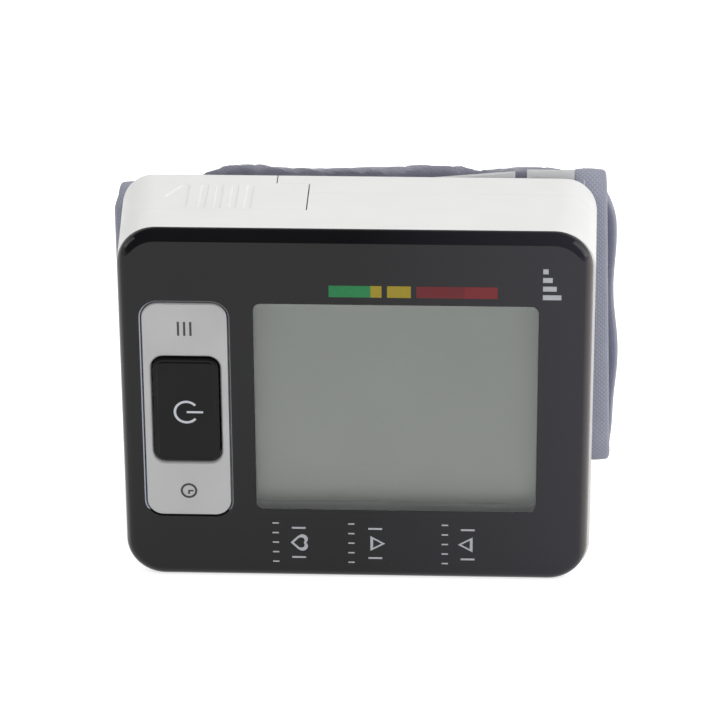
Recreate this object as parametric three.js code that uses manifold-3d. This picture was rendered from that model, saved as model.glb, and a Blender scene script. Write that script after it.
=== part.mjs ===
// Wrist blood pressure monitor, closed cuff, standing on its long flat side.
// Millimetres. X is the display's reading-up direction, Y runs from the face to the back, Z is up.
// The origin is the middle of the flat side that the case stands on.
import * as THREE from 'three';
import { mergeVertices } from 'three/addons/utils/BufferGeometryUtils.js';
import Module from 'manifold-3d';

const wasm = await Module();
wasm.setup();

// Counts, and shares that have no unit
const cornerSteps = 6;
const roundSides = 24;
const smallSides = 14;
const driveSides = 6;
const hoseSides = 5;
const hoseSteps = 18;
const springTurns = 4;
const springSteps = 8;
const springSides = 5;
const ribCount = 4;
const loopArcSteps = 10;
const loopFlatSteps = 4;
const bandSteps = 6;
const tapeSteps = 2;

// Case. Its width, height and depth follow from what it holds.
const cornerRadius = 7;
const wall = 1.8;
const rearEdgeRadius = 3;
const splitDepth = 16.6;
const seam = 0.15;
const overrun = 5;
const snugGap = 0.3;

// Face panel and window
const panelThickness = 2.1;
const panelEdgeRadius = 2;
const panelCorner = 6.7;
const windowWidth = 48.1;
const windowFromPlate = 4.2;
const windowFromRight = 9.1;
const windowFromTop = 13;
const windowFromBottom = 14;
const windowCorner = 1.3;
const lensThickness = 1.5;
const lensGap = 0.1;

// Display behind the window
const displayRecess = 3.7;
const glassMargin = 1.4;
const glassThickness = 1.8;
const reflectorThickness = 0.5;
const reflectorMargin = 0.6;
const frameRim = 2.6;
const connectorHeight = 2.9;
const connectorWidth = 1.6;
const connectorInset = 3;

// Silver rocker plate
const plateWidth = 14.6;
const plateFromLeft = 4;
const plateFromTop = 13;
const plateFromBottom = 12.4;
const plateCorner = 2.8;
const plateThickness = 1.1;
const plateProud = 0.1;
const plateEdgeRadius = 0.5;
const grooveWidth = 0.35;
const stemRadius = 1.5;
const stemFromEnd = 4.9;
const stemRoom = 0.8;
const barbReach = 2.6;
const barbHalfHeight = 1.1;
const barbLength = 0.6;

// Power button
const buttonFromPlateSide = 1.45;
const buttonFromPlateEnd = 10.45;
const buttonGap = 0.2;
const buttonCorner = 1.9;
const buttonProud = 0.5;
const buttonEdgeRadius = 0.7;
const buttonFlange = 0.9;
const buttonFlangeThickness = 0.75;
const buttonGuideGap = 0.3;
const buttonTravelRoom = 0.6;

// Switches and main board
const switchWidth = 4.4;
const switchBodyHeight = 1.9;
const switchPlungerRadius = 1;
const switchPlungerHeight = 0.5;
const boardThickness = 1.2;
const boardEdgeRoom = 0.8;
const boardCorner = 4.2;
const postRoom = 0.5;
const chipWidth = 11;
const chipHeight = 1.6;
const chipFromLeft = 35;
const chipFromBottom = 22;
const buzzerRadius = 4.5;
const buzzerHeight = 2.4;
const buzzerFromLeft = 50;

// Battery bay and cells
const cellRadius = 5.25;
const cellLength = 44.5;
const nubRadius = 1.9;
const nubHeight = 0.8;
const cellSideGap = 1;
const cellSideRoom = 2;
const cellBackRoom = 0.75;
const trayRoom = 1.6;
const trayThickness = 1.2;
const cellLift = 0.55;
const dividerThickness = 1.2;
const bayEndThickness = 1;
const bayPostRoom = 0.4;
const contactThickness = 0.4;
const contactHalfWidth = 4;
const contactHalfDepth = 3.6;
const tailHalfWidth = 1.25;
const springLength = 4.6;
const springWire = 0.5;
const springSmallRadius = 1.8;
const springLargeRadius = 3.4;
const contactGap = 0.3;

// Battery cover
const coverFrontDepth = 9.5;
const coverStepDepth = 20.4;
const coverLength = 31.5;
const coverRail = 2.4;
const coverGap = 0.2;
const tongueReach = 1.6;
const tongueRoot = 2.6;
const tongueThickness = 0.45;
const tongueHeight = 8;
const tongueFromMiddle = 14;
const grooveDepth = 0.35;
const arrowTipFromLeft = 7.2;
const arrowLength = 4.2;
const arrowHalfDepth = 4.8;
const arrowShoulder = 2.9;
const ribFromLeft = 13.8;
const ribSpacing = 2.6;
const ribWidth = 1.4;
const ribDepth = 9.6;
const gripForward = 0.35;

// Screws and their posts
const postRadius = 2.4;
const bayPostRadius = 2.1;
const postFromSide = 6;
const postFromEnd = 6.2;
const bayPostFromSide = 10;
const bayPostFromEnd = 4.1;
const screwRadius = 0.95;
const screwLength = 7;
const screwHeadRadius = 1.75;
const screwHeadHeight = 1.4;
const screwSeatDepth = 7;
const driveRadius = 0.8;
const driveDepth = 0.7;

// Air pump
const pumpRadius = 6;
const pumpFromRight = 13;
const pumpFromBottom = 9.5;
const housingLength = 8;
const diaphragmThickness = 1;
const capLength = 4;
const crankCavityRadius = 4.3;
const crankCavityDepth = 6.4;
const crankDiscRadius = 3;
const crankDiscThickness = 1.5;
const crankShaftRadius = 0.75;
const crankShaftSink = 2;
const crankPinRadius = 0.6;
const crankPinOffset = 1.7;
const crankPinLength = 2;
const cradleThickness = 1.4;
const cradleHalfWidth = 5;
const cradleHeight = 4;
const cradleFromEnd = 3;

// Air path
const nozzleRadius = 1;
const nozzleLength = 3;
const hoseWall = 0.7;
const hoseBend = 3.8;
const pumpHoseRoom = 7;
const manifoldSize = 5;
const manifoldFromTop = 19;
const portRadius = 2.4;
const portFlangeRadius = 3.5;
const portFlangeThickness = 0.9;

// Exhaust valve and pressure sensor
const valveWidth = 10;
const valveHeight = 8;
const valveDepth = 8;
const valveFromTop = 9;
const valveFromPump = 11;
const valveLegWidth = 1;
const plungerRadius = 1.3;
const plungerLength = 6.6;
const plungerProud = 0.9;
const plungerRoom = 1;
const sensorWidth = 7;
const sensorHeight = 3;
const sensorFromPump = 18;

// Plastic cuff sheet behind the case
const sheetThickness = 0.8;
const sheetGap = 0.2;
const sheetLeftFromRight = 34;
const sheetRightFromRight = 3;
const sheetFromBottom = 14;
const sheetNotchFromRight = 13.2;
const sheetNotchWidth = 1.7;
const sheetNotchDepth = 3;
const sheetTopOverCase = 0.2;
const sheetShoulderDrop = 2.3;
const sheetWedgeDrop = 0.35;
const hookWidth = 7;
const hookHeight = 2;
const hookBarb = 0.9;
const hookBarbHeight = 1;
const hookFromBottom = 20;
const hookPitch = 17;

// Cuff loop
const cuffLeftOverhang = 3;
const cuffLeftCut = 1.4;
const cuffLeftCutHeight = 9;
const cuffRightOverhang = 2.4;
const cuffRightLean = 1.7;
const cuffFlare = 1.8;
const cuffFlareRise = 16;
const cuffFlareFall = 9;
const cuffFlareFromTop = 5;
const cuffLeftDrop = 4.4;
const cuffDropLength = 28;
const cuffBottom = 7.45;
const cuffTopUnderCase = 2.55;
const cuffLoopDepth = 10;
const cuffGap = 0.2;
const fabricThickness = 0.8;
const bladderThickness = 0.9;
const liningThickness = 0.6;
const cuffCrown = 0.4;
const edgeTapeWidth = 5.9;
const edgeTapeProud = 0.2;
const bladderMargin = 6;
const patchThickness = 0.8;
const patchMargin = 9;
const flapThickness = 1.3;
const flapMargin = 5.4;
const flapFromBottom = 17;
const flapFromTop = 9;
const flapCorner = 6;

// The case is as wide as its buttons and window, as high as its cells and as deep as its layers
const caseWidth = plateFromLeft + plateWidth + windowFromPlate + windowWidth + windowFromRight;
const bayLength = cellLength + springLength + contactThickness * 2 + contactGap * 3;
const bayLow = bayPostFromEnd + bayPostRadius + bayPostRoom + bayEndThickness;
const bayHigh = bayLow + bayLength;
const caseHeight = bayHigh + bayLow;
const layersDepth = displayRecess + glassThickness + connectorHeight + boardThickness;
const trayDepth = trayRoom + trayThickness + cellLift + cellRadius * 2 + cellBackRoom;
const caseDepth = layersDepth + trayDepth + wall;

// Places worked out from the sizes above
const left = -caseWidth / 2;
const right = caseWidth / 2;
const front = -caseDepth / 2;
const back = caseDepth / 2;
const backInner = back - wall;
const panelBack = front + panelThickness;
const shellInner = panelBack + wall;
const split = front + splitDepth;
const lensBack = front + lensThickness;
const glassFront = front + displayRecess;
const glassBack = glassFront + glassThickness;
const reflectorBack = glassBack + reflectorThickness;
const boardFront = glassBack + connectorHeight;
const boardBack = boardFront + boardThickness;
const trayFront = boardBack + trayRoom;
const trayFloor = trayFront + trayThickness;
const cellY = trayFloor + cellLift + cellRadius;

const windowX1 = right - windowFromRight;
const windowX0 = windowX1 - windowWidth;
const windowZ1 = caseHeight - windowFromTop;
const windowZ0 = windowFromBottom;

const plateX0 = left + plateFromLeft;
const plateX1 = plateX0 + plateWidth;
const plateZ1 = caseHeight - plateFromTop;
const plateZ0 = plateFromBottom;
const plateX = (plateX0 + plateX1) / 2;
const plateZ = (plateZ0 + plateZ1) / 2;
const plateFront = front - plateProud;
const plateBack = plateFront + plateThickness;
const stemPlaces = [plateZ0 + stemFromEnd, plateZ1 - stemFromEnd];

const buttonBack = shellInner + seam;
const switchTop = boardFront - switchBodyHeight - switchPlungerHeight;
const stemEnd = switchTop - buttonTravelRoom;

const bayX0 = left + wall;
const cellSpacing = cellRadius * 2 + cellSideGap;
const firstCellX = bayX0 + cellSideRoom + cellRadius;
const cellPlaces = [firstCellX, firstCellX + cellSpacing];
const dividerX0 = firstCellX + cellSpacing + cellRadius + cellSideRoom;
const coverFront = front + coverFrontDepth;
const coverStep = front + coverStepDepth;
const coverX1 = left + coverLength;
const coverRearX1 = dividerX0 - tongueReach - snugGap;

const pumpX = right - pumpFromRight;
const pumpY = backInner - snugGap - pumpRadius;
const manifoldZ = caseHeight - manifoldFromTop;
const capTop = manifoldZ - manifoldSize / 2 - pumpHoseRoom;
const diaphragmTop = capTop - capLength;
const housingTop = diaphragmTop - diaphragmThickness;
const motorTop = housingTop - housingLength;
const motorLength = motorTop - pumpFromBottom;
const hoseBore = nozzleRadius + snugGap;
const hoseRadius = hoseBore + hoseWall;
const valveX1 = pumpX - valveFromPump;
const valveZ = caseHeight - valveFromTop;
const sensorX = pumpX - sensorFromPump;

const sheetFront = back + sheetGap;
const sheetBack = sheetFront + sheetThickness;
const loopFront = sheetBack + edgeTapeProud + cuffGap / 2;
const loopBack = loopFront + cuffLoopDepth;
const cuffTop = caseHeight - cuffTopUnderCase;
const cuffX0 = left - cuffLeftOverhang;
const cuffX1 = right + cuffRightOverhang;
const bladderDepth = fabricThickness + cuffGap;
const liningDepth = bladderDepth + bladderThickness + cuffGap;
const cuffWall = liningDepth + liningThickness;

// A closed geometry as a solid that can be joined and cut
function solid(geometry) {
  const bare = geometry.clone();
  bare.deleteAttribute('normal');
  bare.deleteAttribute('uv');
  const merged = mergeVertices(bare);
  const vertProperties = Float32Array.from(merged.attributes.position.array);
  const triVerts = Uint32Array.from(merged.index.array);
  return new wasm.Manifold(new wasm.Mesh({ numProp: 3, vertProperties, triVerts }));
}

function geometryOf(piece) {
  const mesh = piece.getMesh();
  const geometry = new THREE.BufferGeometry();
  geometry.setAttribute('position', new THREE.BufferAttribute(mesh.vertProperties, 3));
  geometry.setIndex(new THREE.BufferAttribute(mesh.triVerts, 1));
  geometry.computeVertexNormals();
  return geometry;
}

function join(pieces) {
  return pieces.reduce((whole, piece) => whole.add(piece));
}

function cut(piece, tools) {
  return tools.reduce((rest, tool) => rest.subtract(tool), piece);
}

function box(x0, x1, y0, y1, z0, z1) {
  const geometry = new THREE.BoxGeometry(x1 - x0, y1 - y0, z1 - z0);
  geometry.translate((x0 + x1) / 2, (y0 + y1) / 2, (z0 + z1) / 2);
  return solid(geometry);
}

// A round rod from a start point along one axis
function rod(axis, start, length, radius, sides = roundSides) {
  const geometry = new THREE.CylinderGeometry(radius, radius, length, sides);
  geometry.translate(0, length / 2, 0);
  if (axis === 'x') geometry.rotateZ(-Math.PI / 2);
  if (axis === 'z') geometry.rotateX(Math.PI / 2);
  geometry.translate(start[0], start[1], start[2]);
  return solid(geometry);
}

// Joins equal rings of points into one closed skin. Open lofts get a fan at each end.
function loft(rings, closed) {
  const size = rings[0].length;
  const positions = rings.flat().flatMap((point) => [point.x, point.y, point.z]);
  const index = [];
  const spans = closed ? rings.length : rings.length - 1;
  for (let i = 0; i < spans; i += 1) {
    const next = (i + 1) % rings.length;
    for (let j = 0; j < size; j += 1) {
      const k = (j + 1) % size;
      const [a, b] = [i * size + j, i * size + k];
      const [c, d] = [next * size + k, next * size + j];
      index.push(a, d, c, a, c, b);
    }
  }
  const lastRing = (rings.length - 1) * size;
  for (let j = 1; !closed && j < size - 1; j += 1) {
    index.push(0, j, j + 1, lastRing, lastRing + j + 1, lastRing + j);
  }
  const geometry = new THREE.BufferGeometry();
  geometry.setAttribute('position', new THREE.Float32BufferAttribute(positions, 3));
  geometry.setIndex(index);
  return geometry;
}

// A rounded rectangle in the XZ plane, anticlockwise as the front is seen
function outline(x0, x1, z0, z1, radius, y) {
  const points = [];
  const centres = [[x1 - radius, z1 - radius], [x0 + radius, z1 - radius],
    [x0 + radius, z0 + radius], [x1 - radius, z0 + radius]];
  centres.forEach(([x, z], corner) => {
    for (let i = 0; i <= cornerSteps; i += 1) {
      const angle = (corner + i / cornerSteps) * Math.PI / 2;
      points.push(new THREE.Vector3(x + radius * Math.cos(angle), y, z + radius * Math.sin(angle)));
    }
  });
  return points;
}

// A rounded slab along Y. Its front and back edges can be rounded by a radius each.
function slab(x0, x1, z0, z1, radius, y0, y1, frontRound = 0, backRound = 0) {
  const rings = [];
  const ring = (inset, y) => outline(x0 + inset, x1 - inset, z0 + inset, z1 - inset, radius - inset, y);
  for (let i = 0; frontRound && i < cornerSteps; i += 1) {
    const angle = i / cornerSteps * Math.PI / 2;
    rings.push(ring(frontRound * (1 - Math.sin(angle)), y0 + frontRound * (1 - Math.cos(angle))));
  }
  rings.push(ring(0, y0 + frontRound));
  rings.push(ring(0, y1 - backRound));
  for (let i = 1; backRound && i <= cornerSteps; i += 1) {
    const angle = i / cornerSteps * Math.PI / 2;
    rings.push(ring(backRound * (1 - Math.cos(angle)), y1 - backRound * (1 - Math.sin(angle))));
  }
  return solid(loft(rings, false));
}

function caseSolid() {
  return slab(left, right, 0, caseHeight, cornerRadius, panelBack, back, 0, rearEdgeRadius);
}

function caseSpace() {
  const radius = cornerRadius - wall;
  const rearRound = rearEdgeRadius - wall;
  const high = caseHeight - wall;
  return slab(left + wall, right - wall, wall, high, radius, shellInner, backInner, 0, rearRound);
}

// The space of the battery cover in the case's walls, grown by a gap
function coverSpace(gap) {
  const low = coverRail - gap;
  const high = caseHeight + overrun;
  const side = box(left - overrun, coverX1 + gap, coverFront - gap, coverStep + gap, low, high);
  const rear = box(left - overrun, coverRearX1 + gap, coverFront - gap, back + overrun, low, high);
  return side.add(rear);
}

function frameOutline(gap, y0, y1) {
  const grow = frameRim + gap;
  const radius = windowCorner + grow;
  return slab(windowX0 - grow, windowX1 + grow, windowZ0 - grow, windowZ1 + grow, radius, y0, y1);
}

function buttonOutline(grow, y0, y1, frontRound = 0) {
  const inX = buttonFromPlateSide - grow;
  const inZ = buttonFromPlateEnd - grow;
  const radius = buttonCorner + grow;
  return slab(plateX0 + inX, plateX1 - inX, plateZ0 + inZ, plateZ1 - inZ, radius, y0, y1, frontRound);
}

const sidePosts = [postFromEnd, caseHeight - postFromEnd].map((z) => [right - postFromSide, z]);
const bayPosts = [bayPostFromEnd, caseHeight - bayPostFromEnd].map((z) => [left + bayPostFromSide, z]);

function frontShell() {
  const shell = caseSolid().subtract(caseSpace());
  const high = caseHeight + overrun;
  const rearHalf = box(left - overrun, right + overrun, split, back + overrun, -overrun, high);
  const root = shellInner - wall / 2;
  const posts = sidePosts.map(([x, z]) => rod('y', [x, root, z], split - root, postRadius));
  const shortPosts = bayPosts.map(([x, z]) => rod('y', [x, root, z], trayFront - root, bayPostRadius));
  const pilotRadius = screwRadius + snugGap;
  const pilot = ([x, z]) => rod('y', [x, shellInner + snugGap, z], caseDepth, pilotRadius, smallSides);
  const stemSpace = box(left, right, front, shellInner + seam, 0, caseHeight);
  const stemHole = (z) => rod('y', [plateX, front, z], caseDepth / 2, stemRadius + stemRoom, smallSides);
  const walls = cut(shell, [
    rearHalf,
    coverSpace(coverGap),
    frameOutline(snugGap, front, shellInner + overrun),
    buttonOutline(buttonGuideGap, front, shellInner + overrun),
    ...stemPlaces.map((z) => stemHole(z).intersect(stemSpace)),
  ]);
  return cut(join([walls, ...posts, ...shortPosts]), [...sidePosts, ...bayPosts].map(pilot));
}

function pumpCradle(z) {
  const low = backInner - cradleHeight;
  const x0 = pumpX - cradleHalfWidth;
  const x1 = pumpX + cradleHalfWidth;
  const block = box(x0, x1, low, backInner + wall / 2, z, z + cradleThickness);
  const room = rod('z', [pumpX, pumpY, z - overrun], cradleThickness + overrun * 2, pumpRadius + snugGap);
  return block.subtract(room);
}

// Two saddles on the back wall that hold the motor
function pumpCradles() {
  const places = [pumpFromBottom + cradleFromEnd, motorTop - cradleFromEnd];
  return places.map((z) => pumpCradle(z));
}

// The tray's floor, its end walls and the divider that the cover's tongues reach behind
function batteryTray() {
  const low = wall / 2;
  const high = caseHeight - wall - snugGap;
  const x0 = bayX0 + snugGap;
  const x1 = dividerX0 + dividerThickness;
  const floor = box(x0, x1, trayFront, trayFloor, low, high);
  const divider = box(dividerX0, x1, trayFront, backInner, low, high);
  const endBack = cellY + cellRadius / 2;
  const lowEnd = box(x0, x1, trayFront, endBack, bayLow - bayEndThickness, bayLow);
  const highEnd = box(x0, x1, trayFront, endBack, bayHigh, bayHigh + bayEndThickness);
  return join([floor, divider, lowEnd, highEnd]).intersect(traySpace());
}

// The case's inside less a gap, with a foot that reaches into the rear shell's bottom wall
function traySpace() {
  const room = wall + snugGap;
  const radius = cornerRadius - room;
  const body = slab(left + room, right - room, room, caseHeight - room, radius, shellInner, backInner);
  const foot = box(left + cornerRadius, dividerX0 + dividerThickness, split + seam, back - rearEdgeRadius,
    wall / 2, cornerRadius);
  return body.add(foot);
}

function tailSlot(x) {
  const halfWidth = tailHalfWidth + snugGap;
  const low = bayHigh - contactThickness - snugGap;
  return box(x - halfWidth, x + halfWidth, trayFront - overrun, trayFloor + snugGap, low, bayHigh + snugGap);
}

function rearShell() {
  const frontHalf = box(left - overrun, right + overrun, front - overrun, split + seam, -overrun,
    caseHeight + overrun);
  const walls = cut(caseSolid().subtract(caseSpace()), [frontHalf, coverSpace(coverGap)]);
  const seat = back - screwSeatDepth;
  const bossLength = backInner + wall / 2 - split - seam;
  const bosses = sidePosts.map(([x, z]) => rod('y', [x, split + seam, z], bossLength, postRadius));
  const bores = [...sidePosts, ...bayPosts].map(([x, z]) =>
    rod('y', [x, trayFront - overrun, z], caseDepth, screwRadius + snugGap, smallSides));
  const sinkRadius = screwHeadRadius + snugGap;
  const sinks = sidePosts.map(([x, z]) => rod('y', [x, seat, z], caseDepth, sinkRadius, smallSides));
  const port = rod('y', [pumpX, backInner - overrun, manifoldZ], caseDepth, portRadius, smallSides);
  const whole = join([walls, ...bosses, batteryTray(), ...pumpCradles()]);
  return cut(whole, [...bores, ...sinks, port, ...hookPlaces.map(hookSlot), ...cellPlaces.map(tailSlot)]);
}

function batteryCover() {
  const skin = caseSolid().subtract(caseSpace()).intersect(coverSpace(0));
  const tongueBack = backInner - seam;
  const tongueFront = tongueBack - tongueThickness;
  const tongues = [-tongueFromMiddle, tongueFromMiddle].map((offset) => {
    const z = caseHeight / 2 + offset - tongueHeight / 2;
    const blade = box(coverRearX1 - tongueRoot, coverRearX1 + tongueReach, tongueFront, tongueBack,
      z, z + tongueHeight);
    const root = box(coverRearX1 - tongueRoot, coverRearX1 - coverGap, tongueFront, back - wall / 2,
      z, z + tongueHeight);
    return blade.add(root);
  });
  return cut(join([skin, ...tongues]), [coverArrow(), ...coverRibs()]);
}

// Grip marks are sunk into the cover's side flange
const gripLow = caseHeight - grooveDepth;
const gripHigh = caseHeight + overrun;
const gripY = (coverFront + coverStep) / 2 - gripForward;

function coverArrow() {
  const tip = left + arrowTipFromLeft;
  const base = tip + arrowLength;
  const shoulder = tip + arrowShoulder;
  const ring = (z) => [
    new THREE.Vector3(tip, gripY, z),
    new THREE.Vector3(shoulder, gripY - arrowHalfDepth, z),
    new THREE.Vector3(base, gripY - arrowHalfDepth, z),
    new THREE.Vector3(base, gripY + arrowHalfDepth, z),
    new THREE.Vector3(shoulder, gripY + arrowHalfDepth, z),
  ];
  return solid(loft([ring(gripHigh), ring(gripLow)], false));
}

function coverRibs() {
  return Array.from({ length: ribCount }, (unused, i) => {
    const x = left + ribFromLeft + i * ribSpacing;
    const y = gripY - ribDepth / 2;
    return box(x - ribWidth / 2, x + ribWidth / 2, y, y + ribDepth, gripLow, gripHigh);
  });
}

function facePanel() {
  const body = slab(left, right, 0, caseHeight, panelCorner, front, panelBack, panelEdgeRadius);
  const window = slab(windowX0, windowX1, windowZ0, windowZ1, windowCorner,
    front - overrun, panelBack + overrun);
  const pocket = frameOutline(snugGap, lensBack, panelBack + overrun);
  const grow = grooveWidth;
  const opening = slab(plateX0 - grow, plateX1 + grow, plateZ0 - grow, plateZ1 + grow, plateCorner + grow,
    front - overrun, panelBack + overrun);
  return cut(body, [window, pocket, opening]);
}

function windowLens() {
  const gap = lensGap;
  return slab(windowX0 + gap, windowX1 - gap, windowZ0 + gap, windowZ1 - gap, windowCorner - gap,
    front, lensBack);
}

function glassOutline(grow, y0, y1) {
  const margin = glassMargin + grow;
  return box(windowX0 - margin, windowX1 + margin, y0, y1, windowZ0 - margin, windowZ1 + margin);
}

function displayFrame() {
  const body = frameOutline(0, lensBack + lensGap, reflectorBack);
  const sight = slab(windowX0, windowX1, windowZ0, windowZ1, windowCorner, front, reflectorBack + overrun);
  return cut(body, [sight, glassOutline(snugGap, glassFront - seam, reflectorBack + overrun)]);
}

function displayGlass() {
  return glassOutline(0, glassFront, glassBack);
}

function displayReflector() {
  const inset = reflectorMargin;
  return box(windowX0 + inset, windowX1 - inset, glassBack, reflectorBack,
    windowZ0 + connectorInset, windowZ1 - inset);
}

function displayConnector() {
  const z0 = windowZ0 - glassMargin + snugGap;
  return box(windowX0 + connectorInset, windowX1 - connectorInset, glassBack, boardFront,
    z0, z0 + connectorWidth);
}

function buttonPlate() {
  const round = plateEdgeRadius;
  const face = slab(plateX0, plateX1, plateZ0, plateZ1, plateCorner, plateFront, plateBack, round);
  const hole = buttonOutline(buttonGap, plateFront - overrun, plateBack + overrun);
  const stemStart = plateBack - plateThickness / 2;
  const stems = stemPlaces.map((z) => {
    const stem = rod('y', [plateX, stemStart, z], stemEnd - stemStart, stemRadius, smallSides);
    const barb = box(plateX - barbReach, plateX + barbReach, stemEnd - barbLength, stemEnd,
      z - barbHalfHeight, z + barbHalfHeight);
    return stem.add(barb);
  });
  return join([face.subtract(hole), ...stems]);
}

function powerButton() {
  const cap = buttonOutline(0, front - buttonProud, buttonBack + buttonFlangeThickness, buttonEdgeRadius);
  const flange = buttonOutline(buttonFlange, buttonBack, buttonBack + buttonFlangeThickness);
  const stemStart = buttonBack + buttonFlangeThickness / 2;
  const stem = rod('y', [plateX, stemStart, plateZ], stemEnd - stemStart, stemRadius, smallSides);
  return join([cap, flange, stem]);
}

function tactSwitch(z) {
  const half = switchWidth / 2;
  const bodyFront = boardFront - switchBodyHeight;
  const body = box(plateX - half, plateX + half, bodyFront, boardFront, z - half, z + half);
  const length = switchPlungerHeight + switchBodyHeight / 2;
  return body.add(rod('y', [plateX, switchTop, z], length, switchPlungerRadius, smallSides));
}

function mainBoard() {
  const room = wall + boardEdgeRoom;
  const body = slab(left + room, right - room, room, caseHeight - room, boardCorner, boardFront, boardBack);
  const notch = (radius) => ([x, z]) =>
    rod('y', [x, boardFront - overrun, z], boardThickness + overrun * 2, radius + postRoom, smallSides);
  return cut(body, [...sidePosts.map(notch(postRadius)), ...bayPosts.map(notch(bayPostRadius))]);
}

function controllerChip() {
  const x0 = left + chipFromLeft;
  const z0 = chipFromBottom;
  return box(x0, x0 + chipWidth, boardBack, boardBack + chipHeight, z0, z0 + chipWidth);
}

function buzzer() {
  return rod('y', [left + buzzerFromLeft, boardBack, windowZ0], buzzerHeight, buzzerRadius);
}

// A cell stands on the given height, its nub up or down
function cell(x, low, nubUp) {
  const bodyLength = cellLength - nubHeight;
  const bodyLow = nubUp ? low : low + nubHeight;
  const body = rod('z', [x, cellY, bodyLow], bodyLength, cellRadius);
  const nubLow = nubUp ? low + bodyLength / 2 : low;
  const nub = rod('z', [x, cellY, nubLow], nubHeight + bodyLength / 2, nubRadius, smallSides);
  return body.add(nub);
}

const firstCellLow = bayHigh - contactThickness - contactGap - cellLength;
const secondCellLow = bayLow + contactThickness + contactGap;

function contactPlate(x0, x1, low) {
  const y0 = cellY - contactHalfDepth;
  const y1 = cellY + contactHalfDepth;
  return box(x0 - contactHalfWidth, x1 + contactHalfWidth, y0, y1, low, low + contactThickness);
}

function topContact(x) {
  const low = bayHigh - contactThickness;
  const tail = box(x - tailHalfWidth, x + tailHalfWidth, boardBack + snugGap, cellY, low, bayHigh);
  return contactPlate(x, x, low).add(tail);
}

// A conical helix standing on the wide end, which is at the low or the high side
function conicalSpring(x, low, wideDown) {
  const inset = springWire / 2;
  const height = springLength - springWire;
  const points = [];
  const count = springTurns * springSteps;
  for (let i = 0; i <= count; i += 1) {
    const share = i / count;
    const widthShare = wideDown ? 1 - share : share;
    const radius = springSmallRadius + (springLargeRadius - springSmallRadius) * widthShare;
    const angle = share * springTurns * Math.PI * 2;
    points.push(new THREE.Vector3(x + radius * Math.cos(angle), cellY + radius * Math.sin(angle),
      low + inset + height * share));
  }
  const section = new THREE.Shape();
  section.absarc(0, 0, springWire / 2, 0, Math.PI * 2);
  const path = new THREE.CatmullRomCurve3(points);
  const curveSegments = springSides / 2;
  return solid(new THREE.ExtrudeGeometry(section, { steps: count, extrudePath: path, curveSegments }));
}

// A screw along Y whose head's under side is at the seat
function caseScrew([x, z], seat) {
  const head = rod('y', [x, seat, z], screwHeadHeight, screwHeadRadius, smallSides);
  const shankLength = screwLength + screwHeadHeight / 2;
  const shank = rod('y', [x, seat - screwLength, z], shankLength, screwRadius, smallSides);
  const driveStart = seat + screwHeadHeight - driveDepth;
  const drive = rod('y', [x, driveStart, z], screwHeadHeight, driveRadius, driveSides);
  return head.add(shank).subtract(drive);
}

function pumpMotor() {
  const body = rod('z', [pumpX, pumpY, pumpFromBottom], motorLength - seam, pumpRadius);
  const bore = rod('z', [pumpX, pumpY, motorTop - crankShaftSink - snugGap], motorLength,
    crankShaftRadius + snugGap, smallSides);
  return body.subtract(bore);
}

function pumpHousing() {
  const body = rod('z', [pumpX, pumpY, motorTop], housingLength - seam, pumpRadius);
  const cavity = rod('z', [pumpX, pumpY, motorTop - overrun], crankCavityDepth + overrun, crankCavityRadius);
  return body.subtract(cavity);
}

function pumpCrank() {
  const discLow = motorTop + snugGap;
  const shaft = rod('z', [pumpX, pumpY, motorTop - crankShaftSink], crankShaftSink + crankDiscThickness,
    crankShaftRadius, smallSides);
  const disc = rod('z', [pumpX, pumpY, discLow], crankDiscThickness, crankDiscRadius, roundSides);
  const pin = rod('z', [pumpX + crankPinOffset, pumpY, discLow + crankDiscThickness / 2],
    crankDiscThickness / 2 + crankPinLength, crankPinRadius, smallSides);
  return join([shaft, disc, pin]);
}

function pumpDiaphragm() {
  return rod('z', [pumpX, pumpY, housingTop], diaphragmThickness - seam, pumpRadius + snugGap / 2);
}

function pumpCap() {
  const body = rod('z', [pumpX, pumpY, diaphragmTop], capLength, pumpRadius);
  const nozzle = rod('z', [pumpX, pumpY, diaphragmTop + capLength / 2], capLength / 2 + nozzleLength,
    nozzleRadius, smallSides);
  return body.add(nozzle);
}

function airManifold() {
  const half = manifoldSize / 2;
  const core = box(pumpX - half, pumpX + half, pumpY - half, pumpY + half,
    manifoldZ - half, manifoldZ + half);
  const reach = half + nozzleLength - snugGap;
  const down = rod('z', [pumpX, pumpY, manifoldZ - reach], reach, nozzleRadius, smallSides);
  const up = rod('z', [pumpX, pumpY, manifoldZ], reach, nozzleRadius, smallSides);
  const side = rod('x', [pumpX - reach, pumpY, manifoldZ], reach, nozzleRadius, smallSides);
  const rearReach = back - nozzleLength - snugGap - pumpY;
  const rear = rod('y', [pumpX, pumpY, manifoldZ], rearReach, nozzleRadius, smallSides);
  return join([core, down, up, side, rear]);
}

function hose(path, steps) {
  const section = new THREE.Shape();
  section.absarc(0, 0, hoseRadius, 0, Math.PI * 2);
  const bore = new THREE.Path();
  bore.absarc(0, 0, hoseBore, 0, Math.PI * 2, true);
  section.holes.push(bore);
  return solid(new THREE.ExtrudeGeometry(section, { steps, extrudePath: path, curveSegments: hoseSides }));
}

function bentHose(start, corner, end) {
  const [a, c, b] = [start, corner, end].map((place) => new THREE.Vector3(...place));
  const first = c.clone().lerp(a, hoseBend / c.distanceTo(a));
  const second = c.clone().lerp(b, hoseBend / c.distanceTo(b));
  const path = new THREE.CurvePath();
  path.add(new THREE.LineCurve3(a, first));
  path.add(new THREE.QuadraticBezierCurve3(first, c, second));
  path.add(new THREE.LineCurve3(second, b));
  return hose(path, hoseSteps);
}

function straightHose(start, end) {
  return hose(new THREE.LineCurve3(new THREE.Vector3(...start), new THREE.Vector3(...end)), 1);
}

const manifoldFace = manifoldSize / 2 + snugGap;
const sensorBack = boardBack + sensorHeight;

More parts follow.
